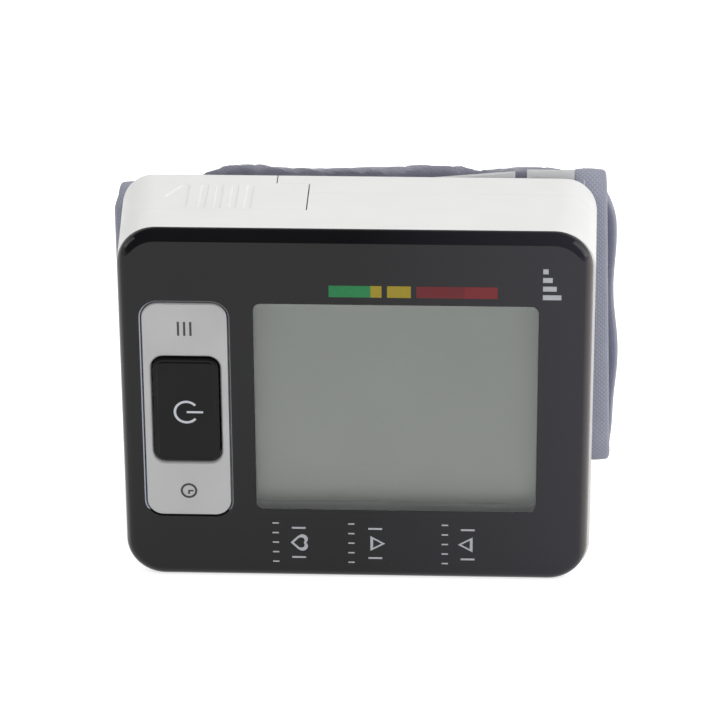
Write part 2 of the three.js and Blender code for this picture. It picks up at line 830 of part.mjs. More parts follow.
function pumpHose() {
  return straightHose([pumpX, pumpY, capTop + snugGap], [pumpX, pumpY, manifoldZ - manifoldFace]);
}

function sensorHose() {
  const start = [sensorX, sensorBack + snugGap, manifoldZ];
  return bentHose(start, [sensorX, pumpY, manifoldZ], [pumpX - manifoldFace, pumpY, manifoldZ]);
}

function valveHose() {
  const start = [pumpX, pumpY, manifoldZ + manifoldFace];
  return bentHose(start, [pumpX, pumpY, valveZ], [valveX1 + snugGap, pumpY, valveZ]);
}

function cuffHose() {
  return straightHose([pumpX, pumpY + manifoldFace, manifoldZ], [pumpX, back, manifoldZ]);
}

function cuffPort() {
  const flangeFront = loopFront + bladderDepth - sheetGap - portFlangeThickness;
  const nozzleStart = back - nozzleLength;
  const length = flangeFront - nozzleStart + portFlangeThickness / 2;
  const nozzle = rod('y', [pumpX, nozzleStart, manifoldZ], length, nozzleRadius, smallSides);
  return nozzle.add(rod('y', [pumpX, flangeFront, manifoldZ], portFlangeThickness, portFlangeRadius));
}

function valveBody() {
  const x0 = valveX1 - valveWidth;
  const half = valveHeight / 2;
  const depth = valveDepth / 2;
  const body = box(x0, valveX1, pumpY - depth, pumpY + depth, valveZ - half, valveZ + half);
  const nozzleStart = valveX1 - nozzleLength;
  const nozzle = rod('x', [nozzleStart, pumpY, valveZ], nozzleLength * 2, nozzleRadius, smallSides);
  const legs = [valveZ - half, valveZ + half - valveLegWidth].map((z) =>
    box(x0, x0 + valveLegWidth, boardBack, pumpY, z, z + valveLegWidth));
  const bore = rod('x', [x0 - overrun, pumpY, valveZ], overrun + plungerLength - plungerProud + plungerRoom,
    plungerRadius + snugGap, smallSides);
  return join([body, nozzle, ...legs]).subtract(bore);
}

function valvePlunger() {
  const x0 = valveX1 - valveWidth - plungerProud;
  return rod('x', [x0, pumpY, valveZ], plungerLength, plungerRadius, smallSides);
}

function pressureSensor() {
  const half = sensorWidth / 2;
  const body = box(sensorX - half, sensorX + half, boardBack, sensorBack,
    manifoldZ - half, manifoldZ + half);
  const nozzleStart = boardBack + sensorHeight / 2;
  const length = sensorHeight / 2 + nozzleLength;
  return body.add(rod('y', [sensorX, nozzleStart, manifoldZ], length, nozzleRadius, smallSides));
}

// The sheet hooks into slots in the back wall
const hookX = (right - sheetLeftFromRight + right - sheetRightFromRight) / 2 - hookWidth;
const hookPlaces = [hookFromBottom, hookFromBottom + hookPitch];

function hookSlot(z) {
  return box(hookX - snugGap, hookX + hookWidth + snugGap, backInner - seam, back + overrun,
    z - hookBarb - snugGap, z + hookHeight + snugGap);
}

function sheetHook(z) {
  const barbBack = backInner - seam;
  const barbFront = barbBack - hookBarbHeight;
  const x1 = hookX + hookWidth;
  const stem = box(hookX, x1, barbFront, sheetBack, z, z + hookHeight);
  return stem.add(box(hookX, x1, barbFront, barbBack, z - hookBarb, z + hookHeight));
}

function cuffSheet() {
  const x0 = right - sheetLeftFromRight;
  const x1 = right - sheetRightFromRight;
  const high = caseHeight + sheetTopOverCase;
  const notchX = right - sheetNotchFromRight;
  const shape = new THREE.Shape([
    new THREE.Vector2(x0, sheetFromBottom),
    new THREE.Vector2(x1, sheetFromBottom),
    new THREE.Vector2(x1, high),
    new THREE.Vector2(notchX + sheetNotchWidth, high),
    new THREE.Vector2(notchX + sheetNotchWidth, high - sheetNotchDepth),
    new THREE.Vector2(notchX, high - sheetNotchDepth),
    new THREE.Vector2(notchX, high - sheetWedgeDrop),
    new THREE.Vector2(x0, high - sheetShoulderDrop),
  ]);
  const geometry = new THREE.ExtrudeGeometry(shape, { depth: sheetThickness, bevelEnabled: false });
  geometry.rotateX(Math.PI / 2);
  geometry.translate(0, sheetBack, 0);
  const hole = rod('y', [pumpX, back - overrun, manifoldZ], overrun * 2, portRadius, smallSides);
  return join([solid(geometry), ...hookPlaces.map(sheetHook)]).subtract(hole);
}

// The closed path of the cuff in the YZ plane: two flats and two round folds.
// Each point also says how far it lies to the back.
function loopPath(depth) {
  const half = cuffLoopDepth / 2 - depth;
  const middle = loopFront + cuffLoopDepth / 2;
  const high = cuffTop - cuffLoopDepth / 2;
  const low = cuffBottom + cuffLoopDepth / 2;
  const path = [];
  const point = (y, z) => path.push({ y, z, backShare: (y - middle) / half / 2 + 1 / 2 });
  const arc = (z, start) => {
    for (let i = 0; i < loopArcSteps; i += 1) {
      const angle = start + i / loopArcSteps * Math.PI;
      point(middle + half * Math.cos(angle), z + half * Math.sin(angle));
    }
  };
  const flat = (y, z0, z1) => {
    for (let i = 0; i < loopFlatSteps; i += 1) point(y, z0 + (z1 - z0) * i / loopFlatSteps);
  };
  arc(high, 0);
  flat(middle - half, high, low);
  arc(low, Math.PI);
  flat(middle + half, low, high);
  return path;
}

// The upper half of the cuff slumps towards its left end
function slumped(x, y, z) {
  const middle = (cuffBottom + cuffTop) / 2;
  const heightShare = Math.max(0, (z - middle) / (cuffTop - middle));
  const endShare = Math.max(0, 1 - (x - cuffX0) / cuffDropLength);
  return new THREE.Vector3(x, y, z - cuffLeftDrop * heightShare * endShare ** 2);
}

// A band along the loop between two depths below the cuff's outer skin. Its left and right edges
// are worked out for each place on the skin. The crown lifts the middle of its outer side at the
// back.
function loopBand(outerDepth, innerDepth, leftEdge, rightEdge, steps, crown = 0, openEnd = 0) {
  const outer = loopPath(outerDepth);
  const inner = loopPath(innerDepth);
  const skin = loopPath(0);
  const lift = crown / (innerDepth - outerDepth);
  const rings = outer.map((place, i) => {
    const deep = inner[i];
    const x0 = leftEdge(skin[i]);
    const x1 = rightEdge(skin[i]);
    const outside = [];
    const inside = [];
    for (let j = 0; j <= steps; j += 1) {
      const share = j / steps;
      const x = x0 + (x1 - x0) * share;
      const rise = lift * (1 - (2 * share - 1) ** 2) * place.backShare;
      const y = place.y + (place.y - deep.y) * rise;
      const z = place.z + (place.z - deep.z) * rise;
      outside.push(slumped(x, y, z));
      inside.unshift(slumped(x, deep.y, deep.z));
    }
    return [...outside, ...inside];
  });
  return solid(loft(openEnd ? rings.slice(0, openEnd) : rings, !openEnd));
}

const clamp = (share) => Math.min(1, Math.max(0, share));

// The cuff's right edge leans out towards the bottom. It stands out further at the back of the
// loop, but not near the folds.
function cuffRight(place) {
  const lean = cuffRightLean * (cuffTop - place.z) / (cuffTop - cuffBottom);
  const rise = clamp((place.z - cuffBottom) / cuffFlareRise);
  const fall = clamp((cuffTop - cuffFlareFromTop - place.z) / cuffFlareFall);
  return cuffX1 + lean + cuffFlare * place.backShare * Math.min(rise, fall);
}

// The cuff's left edge is straight and draws in towards the top fold
function cuffLeft(place) {
  return cuffX0 + cuffLeftCut * clamp((place.z - cuffTop) / cuffLeftCutHeight + 1) ** 2;
}

const tapeInset = edgeTapeWidth + cuffGap;
const fabricLeft = (place) => cuffLeft(place) + tapeInset;
const fabricRight = (place) => cuffRight(place) - tapeInset;

function cuffOuter() {
  const hole = rod('y', [pumpX, loopFront - overrun, manifoldZ], overrun + cuffWall / 2,
    portFlangeRadius + snugGap, smallSides);
  return loopBand(0, fabricThickness, fabricLeft, fabricRight, bandSteps, cuffCrown).subtract(hole);
}

function cuffLining() {
  return loopBand(liningDepth, cuffWall, fabricLeft, fabricRight, bandSteps);
}

// The bladder leaves the back of the loop free
function cuffBladder() {
  const inset = edgeTapeWidth + bladderMargin;
  const openEnd = loopArcSteps * 2 + loopFlatSteps;
  const depth = bladderDepth + bladderThickness;
  return loopBand(bladderDepth, depth, () => cuffX0 + inset, () => cuffX1 - inset, bandSteps, 0, openEnd);
}

function edgeTape(leftEdge, rightEdge) {
  return loopBand(-edgeTapeProud, cuffWall, leftEdge, rightEdge, tapeSteps);
}

function hookPatch() {
  const y0 = loopBack + cuffCrown + cuffGap;
  return slab(cuffX0 + patchMargin, cuffX1 - patchMargin, flapFromBottom + patchMargin / 2,
    cuffTop - flapFromTop - patchMargin / 2, flapCorner / 2, y0, y0 + patchThickness);
}

function cuffFlap() {
  const y0 = loopBack + cuffCrown + cuffGap * 2 + patchThickness;
  return slab(cuffX0 + flapMargin, cuffX1 - flapMargin, flapFromBottom, cuffTop - flapFromTop, flapCorner,
    y0, y0 + flapThickness, 0, flapThickness / 2);
}

const device = new THREE.Group();
const finish = (color, roughness, metalness = 0) => ({ color, roughness, metalness, flatShading: true });
const white = finish(0xf2f2ef, 0.45);
const black = finish(0x101012, 0.15);
const satinBlack = finish(0x161617, 0.4);
const silver = finish(0xb4b5b8, 0.35, 0.6);
const clear = { ...finish(0xe8efee, 0.05), transparent: true, opacity: 0.35 };
const displayGrey = finish(0x8a8e86, 0.5);
const steel = finish(0xa9abad, 0.35, 0.9);
const brass = finish(0xb9975b, 0.35, 0.9);
const boardGreen = finish(0x1f5a3a, 0.5);
const chipBlack = finish(0x1d1d1f, 0.6);
const siliconeGrey = finish(0xcfd2d4, 0.6);
const rubberBlack = finish(0x2a2a2c, 0.8);
const nylon = finish(0x8c8ea0, 0.9);
const tape = finish(0x83859a, 0.85);
const cellSkin = finish(0x3a5f8a, 0.4, 0.3);

function place(name, piece, look) {
  const mesh = new THREE.Mesh(geometryOf(piece), new THREE.MeshStandardMaterial(look));
  mesh.name = name;
  device.add(mesh);
}

place('front_shell', frontShell(), white);
place('rear_shell', rearShell(), white);
place('battery_cover', batteryCover(), white);
place('face_panel', facePanel(), black);
place('window_lens', windowLens(), clear);
place('lcd_frame', displayFrame(), displayGrey);
place('lcd_glass', displayGlass(), clear);
place('lcd_reflector', displayReflector(), displayGrey);
place('lcd_connector', displayConnector(), rubberBlack);
place('button_plate', buttonPlate(), silver);
place('power_button', powerButton(), satinBlack);
place('tact_switch_power', tactSwitch(plateZ), chipBlack);
place('tact_switch_set', tactSwitch(stemPlaces[0]), chipBlack);
place('tact_switch_memory', tactSwitch(stemPlaces[1]), chipBlack);
place('main_board', mainBoard(), boardGreen);
place('controller_chip', controllerChip(), chipBlack);
place('buzzer', buzzer(), chipBlack);
place('battery_1', cell(cellPlaces[0], firstCellLow, true), cellSkin);
place('battery_2', cell(cellPlaces[1], secondCellLow, false), cellSkin);
place('series_contact', contactPlate(cellPlaces[0], cellPlaces[1], bayLow), steel);
place('positive_contact', topContact(cellPlaces[0]), steel);
place('negative_contact', topContact(cellPlaces[1]), steel);
place('series_spring', conicalSpring(cellPlaces[0], bayLow + contactThickness + contactGap / 2, true), steel);
const topSpringLow = bayHigh - contactThickness - contactGap / 2 - springLength;
place('negative_spring', conicalSpring(cellPlaces[1], topSpringLow, false), steel);
bayPosts.forEach((post, i) => place(`case_screw_${i + 1}`, caseScrew(post, trayFloor), steel));
sidePosts.forEach((post, i) => place(`case_screw_${i + 3}`, caseScrew(post, back - screwSeatDepth), steel));
place('pump_motor', pumpMotor(), steel);
place('pump_housing', pumpHousing(), chipBlack);
place('pump_crank', pumpCrank(), brass);
place('pump_diaphragm', pumpDiaphragm(), rubberBlack);
place('pump_cap', pumpCap(), siliconeGrey);
place('air_manifold', airManifold(), siliconeGrey);
place('hose_pump', pumpHose(), siliconeGrey);
place('hose_sensor', sensorHose(), siliconeGrey);
place('hose_valve', valveHose(), siliconeGrey);
place('hose_cuff', cuffHose(), siliconeGrey);
place('cuff_port', cuffPort(), siliconeGrey);
place('valve_body', valveBody(), chipBlack);
place('valve_plunger', valvePlunger(), steel);
place('pressure_sensor', pressureSensor(), siliconeGrey);
place('cuff_stiffener', cuffSheet(), siliconeGrey);
place('cuff_outer', cuffOuter(), nylon);
place('cuff_bladder', cuffBladder(), rubberBlack);
place('cuff_lining', cuffLining(), nylon);
place('cuff_edge_left', edgeTape(cuffLeft, (where) => cuffLeft(where) + edgeTapeWidth), tape);
place('cuff_edge_right', edgeTape((where) => cuffRight(where) - edgeTapeWidth, cuffRight), tape);
place('hook_patch', hookPatch(), rubberBlack);
place('cuff_flap', cuffFlap(), nylon);

export default device;
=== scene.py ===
# %% [markdown]
# # Dressing a wrist blood pressure monitor
# The monitor stands on its long flat side with its cuff closed behind it. Its working frame comes
# ready made, at its real size in metres, and nothing in it is moved here. Each step below takes one
# piece or one finish of the real object, says how it could be made in Blender, and makes it.

# %% Load the frame
import bisect
import math

import bmesh
import bpy
from mathutils import Matrix, Vector


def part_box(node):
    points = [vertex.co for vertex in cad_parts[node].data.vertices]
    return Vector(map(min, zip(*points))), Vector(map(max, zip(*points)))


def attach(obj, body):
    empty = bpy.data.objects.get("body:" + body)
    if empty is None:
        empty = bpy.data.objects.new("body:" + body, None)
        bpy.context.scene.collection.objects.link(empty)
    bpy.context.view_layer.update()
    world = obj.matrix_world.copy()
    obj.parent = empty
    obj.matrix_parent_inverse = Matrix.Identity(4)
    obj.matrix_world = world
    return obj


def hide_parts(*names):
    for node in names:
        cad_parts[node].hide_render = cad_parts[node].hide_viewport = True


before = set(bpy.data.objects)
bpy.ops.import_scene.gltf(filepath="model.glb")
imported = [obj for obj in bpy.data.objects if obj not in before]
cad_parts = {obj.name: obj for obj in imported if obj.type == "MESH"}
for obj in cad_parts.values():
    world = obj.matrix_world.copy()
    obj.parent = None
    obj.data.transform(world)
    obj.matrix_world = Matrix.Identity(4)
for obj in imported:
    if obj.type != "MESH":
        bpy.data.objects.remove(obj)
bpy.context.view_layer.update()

# %% [markdown]
# ## The camera
# The photograph was taken with a long lens from above the face panel, turned a little to the left.
# A camera can be placed by eye until the picture fits. Here the angles were worked out from the
# corners of the panel, so the camera is set by them: it looks at one point of the panel from a
# known distance.

# %% Camera at the photograph's angle
MM = 0.001
lens = 188.1
camera_distance = 636.17 * MM
camera_tilt = math.radians(26.76)
camera_turn = math.radians(2.441)
camera_roll = math.radians(-0.382)
panel_low, panel_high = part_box("face_panel")
aim = Vector((0.906 * MM, panel_low.y, 42.581 * MM))

bpy.ops.object.select_all(action="DESELECT")
bpy.ops.object.camera_add()
camera = bpy.context.object
camera.data.lens = lens
camera.data.clip_start = 10 * MM
turned = Matrix.Rotation(camera_turn, 4, "Z") @ Matrix.Rotation(math.pi / 2 - camera_tilt, 4, "X")
turned = turned @ Matrix.Rotation(camera_roll, 4, "Z")
camera.matrix_world = Matrix.Translation(aim) @ turned @ Matrix.Translation((0, 0, camera_distance))
bpy.context.scene.camera = camera
bpy.context.scene.view_settings.view_transform = "Standard"
print("Camera at", [round(value / MM, 1) for value in camera.matrix_world.translation])

# %% [markdown]
# ## A pale studio
# The object stood on white paper under big soft lamps. A floor and a white world do the same. The
# world is full white only where the camera or clear plastic sees it, and it lights the object at a
# lower level, so that white plastic doesn't burn out. A photo studio is dark above its lamps. Gloss
# shows that: the panel's upper rim is a black line and its sides are light. So reflections see the
# white world too, but with a dark ceiling, which a cap round one direction makes, and the paper
# ends a forearm's length in front of the monitor. World and paper are trees of nodes, like every
# finish, so the helpers that add and link nodes come first.

# %% Helpers for nodes


def feed(tree, socket, value):
    """Links a socket to an output, or sets its number, direction or colour."""
    if isinstance(value, bpy.types.NodeSocket):
        tree.links.new(value, socket)
    elif socket.type == "RGBA":
        socket.default_value = (*value, 1)
    else:
        socket.default_value = value


def wired(tree, kind, inputs, output=0, **settings):
    """Adds a node, makes its settings, feeds its inputs, and returns one of its outputs."""
    node = tree.nodes.new("ShaderNode" + kind)
    for label, value in settings.items():
        setattr(node, label, value)
    for label, value in inputs.items():
        feed(tree, node.inputs[label], value)
    return node.outputs[output]


def place_in(tree, kind="Object"):
    return wired(tree, "TexCoord", {}, kind)


def seen_by(tree, *kinds):
    """A value of 1 where a ray of these kinds arrives, and 0 for others."""
    path = wired(tree, "LightPath", {}).node.outputs
    seen = path[kinds[0]]
    for kind in kinds[1:]:
        seen = wired(tree, "Math", {0: seen, 1: path[kind]}, operation="MAXIMUM")
    return seen


def ranged(tree, value, low, high, start=0, end=1, **settings):
    """Turns a value between start and end into a level between low and high."""
    inputs = {"Value": value, "From Min": start, "From Max": end, "To Min": low, "To Max": high}
    return wired(tree, "MapRange", inputs, **settings)


def new_material(name):
    """A new material, its tree and its shader's sockets."""
    material = bpy.data.materials.new(name)
    material.use_nodes = True
    tree = material.node_tree
    return material, tree, tree.nodes["Principled BSDF"].inputs


print("Node helpers ready: feed, wired, ranged")

# %% World and floor
ambient = 0.5
floor_white = 0.72
floor_lift = 0.62
floor_side, floor_front = 2.0, 0.27
ceiling_white = 0.1
ceiling_way = Vector((0, -0.5, 0.866))
ceiling_start, ceiling_end = 0.14, 0.375

world = bpy.data.worlds.new("studio_white")
bpy.context.scene.world = world
world.use_nodes = True
tree = world.node_tree
lit = ranged(tree, seen_by(tree, "Is Camera Ray", "Is Transmission Ray"), ambient, 1)
towards = wired(tree, "VectorMath", {0: place_in(tree, "Generated"), 1: ceiling_way}, "Value",
                operation="DOT_PRODUCT")
mirrored = ranged(tree, towards, 1, ceiling_white, ceiling_start, ceiling_end,
                  interpolation_type="SMOOTHSTEP")
background = tree.nodes["Background"].inputs
feed(tree, background["Strength"], ranged(tree, seen_by(tree, "Is Glossy Ray"), lit, mirrored))
feed(tree, background["Color"], (1, 1, 1))

bpy.ops.object.select_all(action="DESELECT")
bpy.ops.mesh.primitive_plane_add(size=2 * floor_side, location=(0, floor_side - floor_front, 0))
floor = bpy.context.object
floor.name = "paper_floor"
bpy.ops.object.transform_apply(location=True)
paper, tree, shader = new_material("white_paper")
for_eyes = seen_by(tree, "Is Camera Ray", "Is Glossy Ray", "Is Transmission Ray")
paper_look = {
    "Base Color": (floor_white,) * 3, "Roughness": 1, "Specular IOR Level": 0,
    "Emission Color": (1, 1, 1), "Emission Strength": ranged(tree, for_eyes, 0, floor_lift)}
for label, value in paper_look.items():
    feed(tree, shader[label], value)
floor.data.materials.append(paper)
print("Floor", floor.name, "and world", world.name)

# %% Soft lamps
lamp_aim = Vector((0, 0, 33 * MM))


def soft_lamp(name, place, size, power, mirrored=True):
    """A square lamp at a place, turned to the monitor. Gloss may show it or not."""
    bpy.ops.object.select_all(action="DESELECT")
    bpy.ops.object.light_add(type="AREA", location=place)
    lamp = bpy.context.object
    lamp.name = name
    lamp.data.size = size
    lamp.data.energy = power
    lamp.visible_camera = False
    lamp.visible_glossy = mirrored
    lamp.visible_transmission = False
    lamp.rotation_euler = (lamp_aim - Vector(place)).to_track_quat("-Z", "Y").to_euler()
    return lamp


lamps = [
    soft_lamp("left_lamp", (-0.98, -0.05, 0.5), 0.5, 1.3),
    soft_lamp("right_lamp", (0.95, -0.1, 0.46), 0.74, 3.5),
    soft_lamp("front_lamp", (0.1, -0.8, 0.46), 0.9, 4.2, mirrored=False),
    soft_lamp("rear_lamp", (0.2, 0.6, 0.95), 0.6, 2.7, mirrored=False),
]
print("Lamps:", [lamp.name for lamp in lamps])

# %% [markdown]
# ## Finishes that many pieces share
# Moulded plastic is never one flat value: its tone drifts over centimetres, and a fine grain from
# the mould breaks its gloss. Both could be drawn as pictures. Noise needs no picture and has no
# seams, so two small node groups make them once, and every finish sets them to its own scale.

# %% Node groups for drift and grain


def group_with(name, outputs, **numbers):
    """A node group with a Vector and named numbers, and the sockets of its two end nodes."""
    tree = bpy.data.node_groups.new(name, "ShaderNodeTree")
    tree.interface.new_socket("Vector", in_out="INPUT", socket_type="NodeSocketVector")
    for label, value in numbers.items():
        socket = tree.interface.new_socket(label, in_out="INPUT", socket_type="NodeSocketFloat")
        socket.default_value = value
    for label in outputs:
        tree.interface.new_socket(label, in_out="OUTPUT", socket_type="NodeSocketFloat")
    return tree, tree.nodes.new("NodeGroupInput").outputs, tree.nodes.new("NodeGroupOutput").inputs


def sum_node(tree, operation, *values):
    """One step of arithmetic in a tree. A step takes sockets or plain numbers."""
    return wired(tree, "Math", dict(enumerate(values)), operation=operation)


def noise_in(tree, start, detail):
    """Noise whose blobs have the group's Size, in metres."""
    scale = sum_node(tree, "DIVIDE", 1.0, start["Size"])
    return wired(tree, "TexNoise", {"Vector": start["Vector"], "Scale": scale, "Detail": detail})


def drift_group():
    """Slow change between Low and High."""
    tree, start, end = group_with("slow_drift", ["Value"], Size=9 * MM, Low=0.0, High=1.0)
    noise = noise_in(tree, start, 3)
    feed(tree, end["Value"], ranged(tree, noise, start["Low"], start["High"], 0.3, 0.7))
    return tree


def grain_group():
    """The fine grain of a mould or a blasted plate, as a height from 0 to 1."""
    tree, start, end = group_with("fine_grain", ["Height"], Size=0.15 * MM)
    feed(tree, end["Height"], noise_in(tree, start, 2))
    return tree


slow_drift = drift_group()
fine_grain = grain_group()
print("Groups:", slow_drift.name, fine_grain.name)

# %% [markdown]
# ## One recipe for moulded, painted and metal pieces
# The recipe mixes two close tones by the drift, lets the roughness drift too, and gives the grain to
# a bump. Values that are the same all over, such as metal or coat, stay on the shader's own sockets.

# %% The recipe
MIX_FIRST, MIX_SECOND, MIX_RESULT = 6, 7, 2


def use_group(tree, group, vector, output=0, **values):
    """Places a group in a material, reads it at a vector and sets its numbers."""
    return wired(tree, "Group", {"Vector": vector, **values}, output, node_tree=group)


def mix_colours(tree, factor, first, second):
    """Mixes two colours, each a socket or three numbers, by a factor."""
    inputs = {"Factor": factor, MIX_FIRST: first, MIX_SECOND: second}
    return wired(tree, "Mix", inputs, MIX_RESULT, data_type="RGBA")


def complete(tree, colour, gloss, height, depth, sockets):
    """Feeds colour, gloss and a bump of a real depth to the shader, and sets its plain sockets."""
    shader = tree.nodes["Principled BSDF"].inputs
    bump = wired(tree, "Bump", {"Height": height, "Distance": depth, "Strength": 1.0})
    for label, value in {"Base Color": colour, "Roughness": gloss, "Normal": bump, **sockets}.items():
        feed(tree, shader[label.replace("_", " ")], value)


def finish(name, colour, roughness, tone=0.05, patch=11 * MM, grain=0.15 * MM, depth=0.004 * MM,
           **sockets):
    """A finish with a drifting tone and gloss, and a fine grain."""
    material, tree, _ = new_material(name)
    place = place_in(tree)
    tones = use_group(tree, slow_drift, place, Size=patch)
    dark = [value * (1 - tone) for value in colour]
    light = [min(1, value * (1 + tone)) for value in colour]
    low, high = roughness * 0.85, min(1, roughness * 1.15)
    gloss = use_group(tree, slow_drift, place, Size=patch * 0.6, Low=low, High=high)
    height = use_group(tree, fine_grain, place, Size=grain)
    complete(tree, mix_colours(tree, tones, dark, light), gloss, height, depth, sockets)
    return material


def toned(material, kind, axis, start, end, colour):
    """Fades a finish to a second colour along one axis of its Object or UV coordinates."""
    tree = material.node_tree
    socket = tree.nodes["Principled BSDF"].inputs["Base Color"]
    plain = socket.links[0].from_socket
    fade = ranged(tree, wired(tree, "SeparateXYZ", {0: place_in(tree, kind)}, axis), 0, 1, start, end)
    feed(tree, socket, mix_colours(tree, fade, plain, colour))


white_plastic = finish("white_plastic", (0.80, 0.80, 0.79), 0.38, tone=0.015, depth=0.003 * MM)
gloss_black = finish("gloss_black", (0.005, 0.005, 0.006), 0.07, tone=0.1, patch=25 * MM,
                     grain=3 * MM, depth=0.0005 * MM, Specular_IOR_Level=0.285)
satin_black = finish("satin_black", (0.006, 0.006, 0.006), 0.3, depth=0.005 * MM, Specular_IOR_Level=0.17)
silver_paint = finish("silver_paint", (0.425, 0.425, 0.43), 0.4, tone=0.03, grain=0.1 * MM,
                      depth=0.006 * MM, Metallic=0.45)
print("Finishes:", [m.name for m in (white_plastic, gloss_black, satin_black, silver_paint)])

# %% More finishes
clear_pane = finish("clear_pane", (0.97, 0.98, 0.98), 0.02, tone=0.005, grain=4 * MM,
                    depth=0.0001 * MM, Transmission_Weight=1.0, IOR=1.45)
display_grey = finish("display_grey", (0.44, 0.483, 0.43), 0.45, tone=0.02, depth=0.001 * MM)
bezel_grey = finish("bezel_grey", (0.5, 0.5, 0.515), 0.6, depth=0.001 * MM)
light_print = finish("light_print", (0.52, 0.54, 0.58), 0.5, grain=0.08 * MM)
sign_print = finish("sign_print", (0.40, 0.41, 0.44), 0.5, grain=0.08 * MM)
dark_print = finish("dark_print", (0.035, 0.035, 0.035), 0.5, grain=0.08 * MM)
frosted_sheet = finish("frosted_sheet", (0.68, 0.69, 0.70), 0.42, tone=0.03, grain=0.2 * MM,
                       depth=0.006 * MM, Transmission_Weight=0.25)
steel = finish("steel", (0.55, 0.56, 0.57), 0.28, grain=0.1 * MM, Metallic=1.0)
brass = finish("brass", (0.72, 0.52, 0.24), 0.3, Metallic=1.0)
board_green = finish("board_green", (0.02, 0.13, 0.06), 0.4, tone=0.15, patch=3 * MM, grain=0.5 * MM,
                     depth=0.02 * MM)
component_black = finish("component_black", (0.02, 0.02, 0.022), 0.55)
rubber = finish("rubber", (0.025, 0.025, 0.027), 0.75, grain=0.3 * MM, depth=0.01 * MM)
silicone = finish("silicone", (0.62, 0.63, 0.64), 0.5, tone=0.03)
cell_blue = finish("cell_blue", (0.05, 0.13, 0.27), 0.3, tone=0.08, Coat_Weight=0.4)
print("Finishes in all:", len(bpy.data.materials))

# %% [markdown]
# ## Cloth
# The cuff is woven nylon in a grey lavender, a thread or two to each third of a millimetre. A photo
# could be tiled over it. The weave here is arithmetic on the cloth's own map, which is laid out in
# metres along the band, so the threads follow every fold. Warp and weft take turns on top.

# %% The weave group and the cloth recipe


def weave_group():
    """Threads of a twill on a map in metres: their height, and how much each place is warp."""
    tree, start, end = group_with("twill_weave", ["Height", "Warp"], Pitch=0.36 * MM)
    across, along = (
        sum_node(tree, "DIVIDE", wired(tree, "SeparateXYZ", {0: start["Vector"]}, axis), start["Pitch"])
        for axis in "XY")

    def thread(value):
        wave = sum_node(tree, "COSINE", sum_node(tree, "MULTIPLY", value, math.pi))
        return sum_node(tree, "ABSOLUTE", wave)

    slant = sum_node(tree, "MULTIPLY", sum_node(tree, "ADD", across, along), math.pi)
    turn = sum_node(tree, "MULTIPLY_ADD", sum_node(tree, "SINE", slant), 0.5, 0.5)
    warp = sum_node(tree, "MULTIPLY", thread(across), turn)
    weft = sum_node(tree, "MULTIPLY", thread(along), sum_node(tree, "SUBTRACT", 1.0, turn))
    feed(tree, end["Height"], sum_node(tree, "MAXIMUM", warp, weft))
    feed(tree, end["Warp"], turn)
    return tree


twill_weave = weave_group()


def cloth(name, warp, weft, pitch=0.46 * MM, depth=0.07 * MM, roughness=0.8, mapped=True, **sockets):
    """Woven cloth in two thread colours. Pieces without a map are read on their X and Z."""
    material, tree, _ = new_material(name)
    solid = place_in(tree)
    upright = (-math.pi / 2, 0, 0)
    vector = place_in(tree, "UV")
    if not mapped:
        vector = wired(tree, "Mapping", {"Vector": solid, "Rotation": upright})
    height = use_group(tree, twill_weave, vector, "Height", Pitch=pitch)
    threads = mix_colours(tree, height.node.outputs["Warp"], warp, weft)
    shade = use_group(tree, slow_drift, solid, Size=2.2 * MM, Low=0.0, High=0.35)
    tinted = mix_colours(tree, shade, threads, [0.8 * value for value in weft])
    # Painted shade: the low places between the threads are darker.
    painted_gap_shade = sum_node(tree, "MULTIPLY", sum_node(tree, "SUBTRACT", 1.0, height), 0.55)
    colour = mix_colours(tree, painted_gap_shade, tinted, [0.45 * value for value in warp])
    gloss = use_group(tree, slow_drift, solid, Size=4 * MM, Low=roughness - 0.08, High=roughness + 0.08)
    complete(tree, colour, gloss, height, depth, sockets)
    return material


soft_sheen = {"Sheen_Weight": 0.25, "Sheen_Roughness": 0.4}
cuff_cloth = cloth("cuff_cloth", (0.38, 0.385, 0.48), (0.45, 0.45, 0.54), **soft_sheen)
tape_cloth = cloth("tape_cloth", (0.325, 0.34, 0.425), (0.39, 0.40, 0.49), pitch=0.42 * MM, **soft_sheen)
lining_cloth = cloth("lining_cloth", (0.24, 0.245, 0.30), (0.28, 0.28, 0.33), pitch=0.5 * MM, **soft_sheen)
flap_cloth = cloth("flap_cloth", (0.38, 0.385, 0.475), (0.45, 0.45, 0.535), mapped=False, **soft_sheen)
hook_cloth = cloth("hook_cloth", (0.05, 0.05, 0.058), (0.09, 0.09, 0.10), pitch=0.9 * MM,
                   depth=0.3 * MM, mapped=False)
thread_finish = finish("sewing_thread", (0.50, 0.51, 0.58), 0.6, patch=1 * MM, grain=0.12 * MM,
                       depth=0.03 * MM)
print("Cloths:", cuff_cloth.name, tape_cloth.name, lining_cloth.name, flap_cloth.name)

# %% [markdown]
# ## Modelling helpers
# Most hard pieces of the monitor are rounded blocks: a box whose four long edges are bevelled to
# the corner radius, and whose front or back rim is bevelled again. Holes are cut by the same kind of
# block. So a few helpers wrap the steps that a modeller does by hand: add a primitive at its size,
# pick edges by their place, bevel them, cut, soften what is sharp.

# %% Helpers for blocks and rods
TINY = 1e-7
CORNER_STEPS = 14
ROUND_STEPS = 7


def clamp(share):
    return min(1.0, max(0.0, share))


def smooth(share):
    """A soft step from 0 to 1."""
    share = clamp(share)
    return share * share * (3 - 2 * share)


def only(*pieces):
    """Leaves just these pieces selected, and the last of them active."""
    bpy.ops.object.select_all(action="DESELECT")
    for piece in pieces:
        piece.select_set(True)
    bpy.context.view_layer.objects.active = pieces[-1]


def named(name):
    """Names the piece that was just added, and puts its place into its mesh."""
    piece = bpy.context.object
    piece.name = name
    piece.data.name = name
    bpy.ops.object.transform_apply(location=True, rotation=True, scale=True)
    return piece


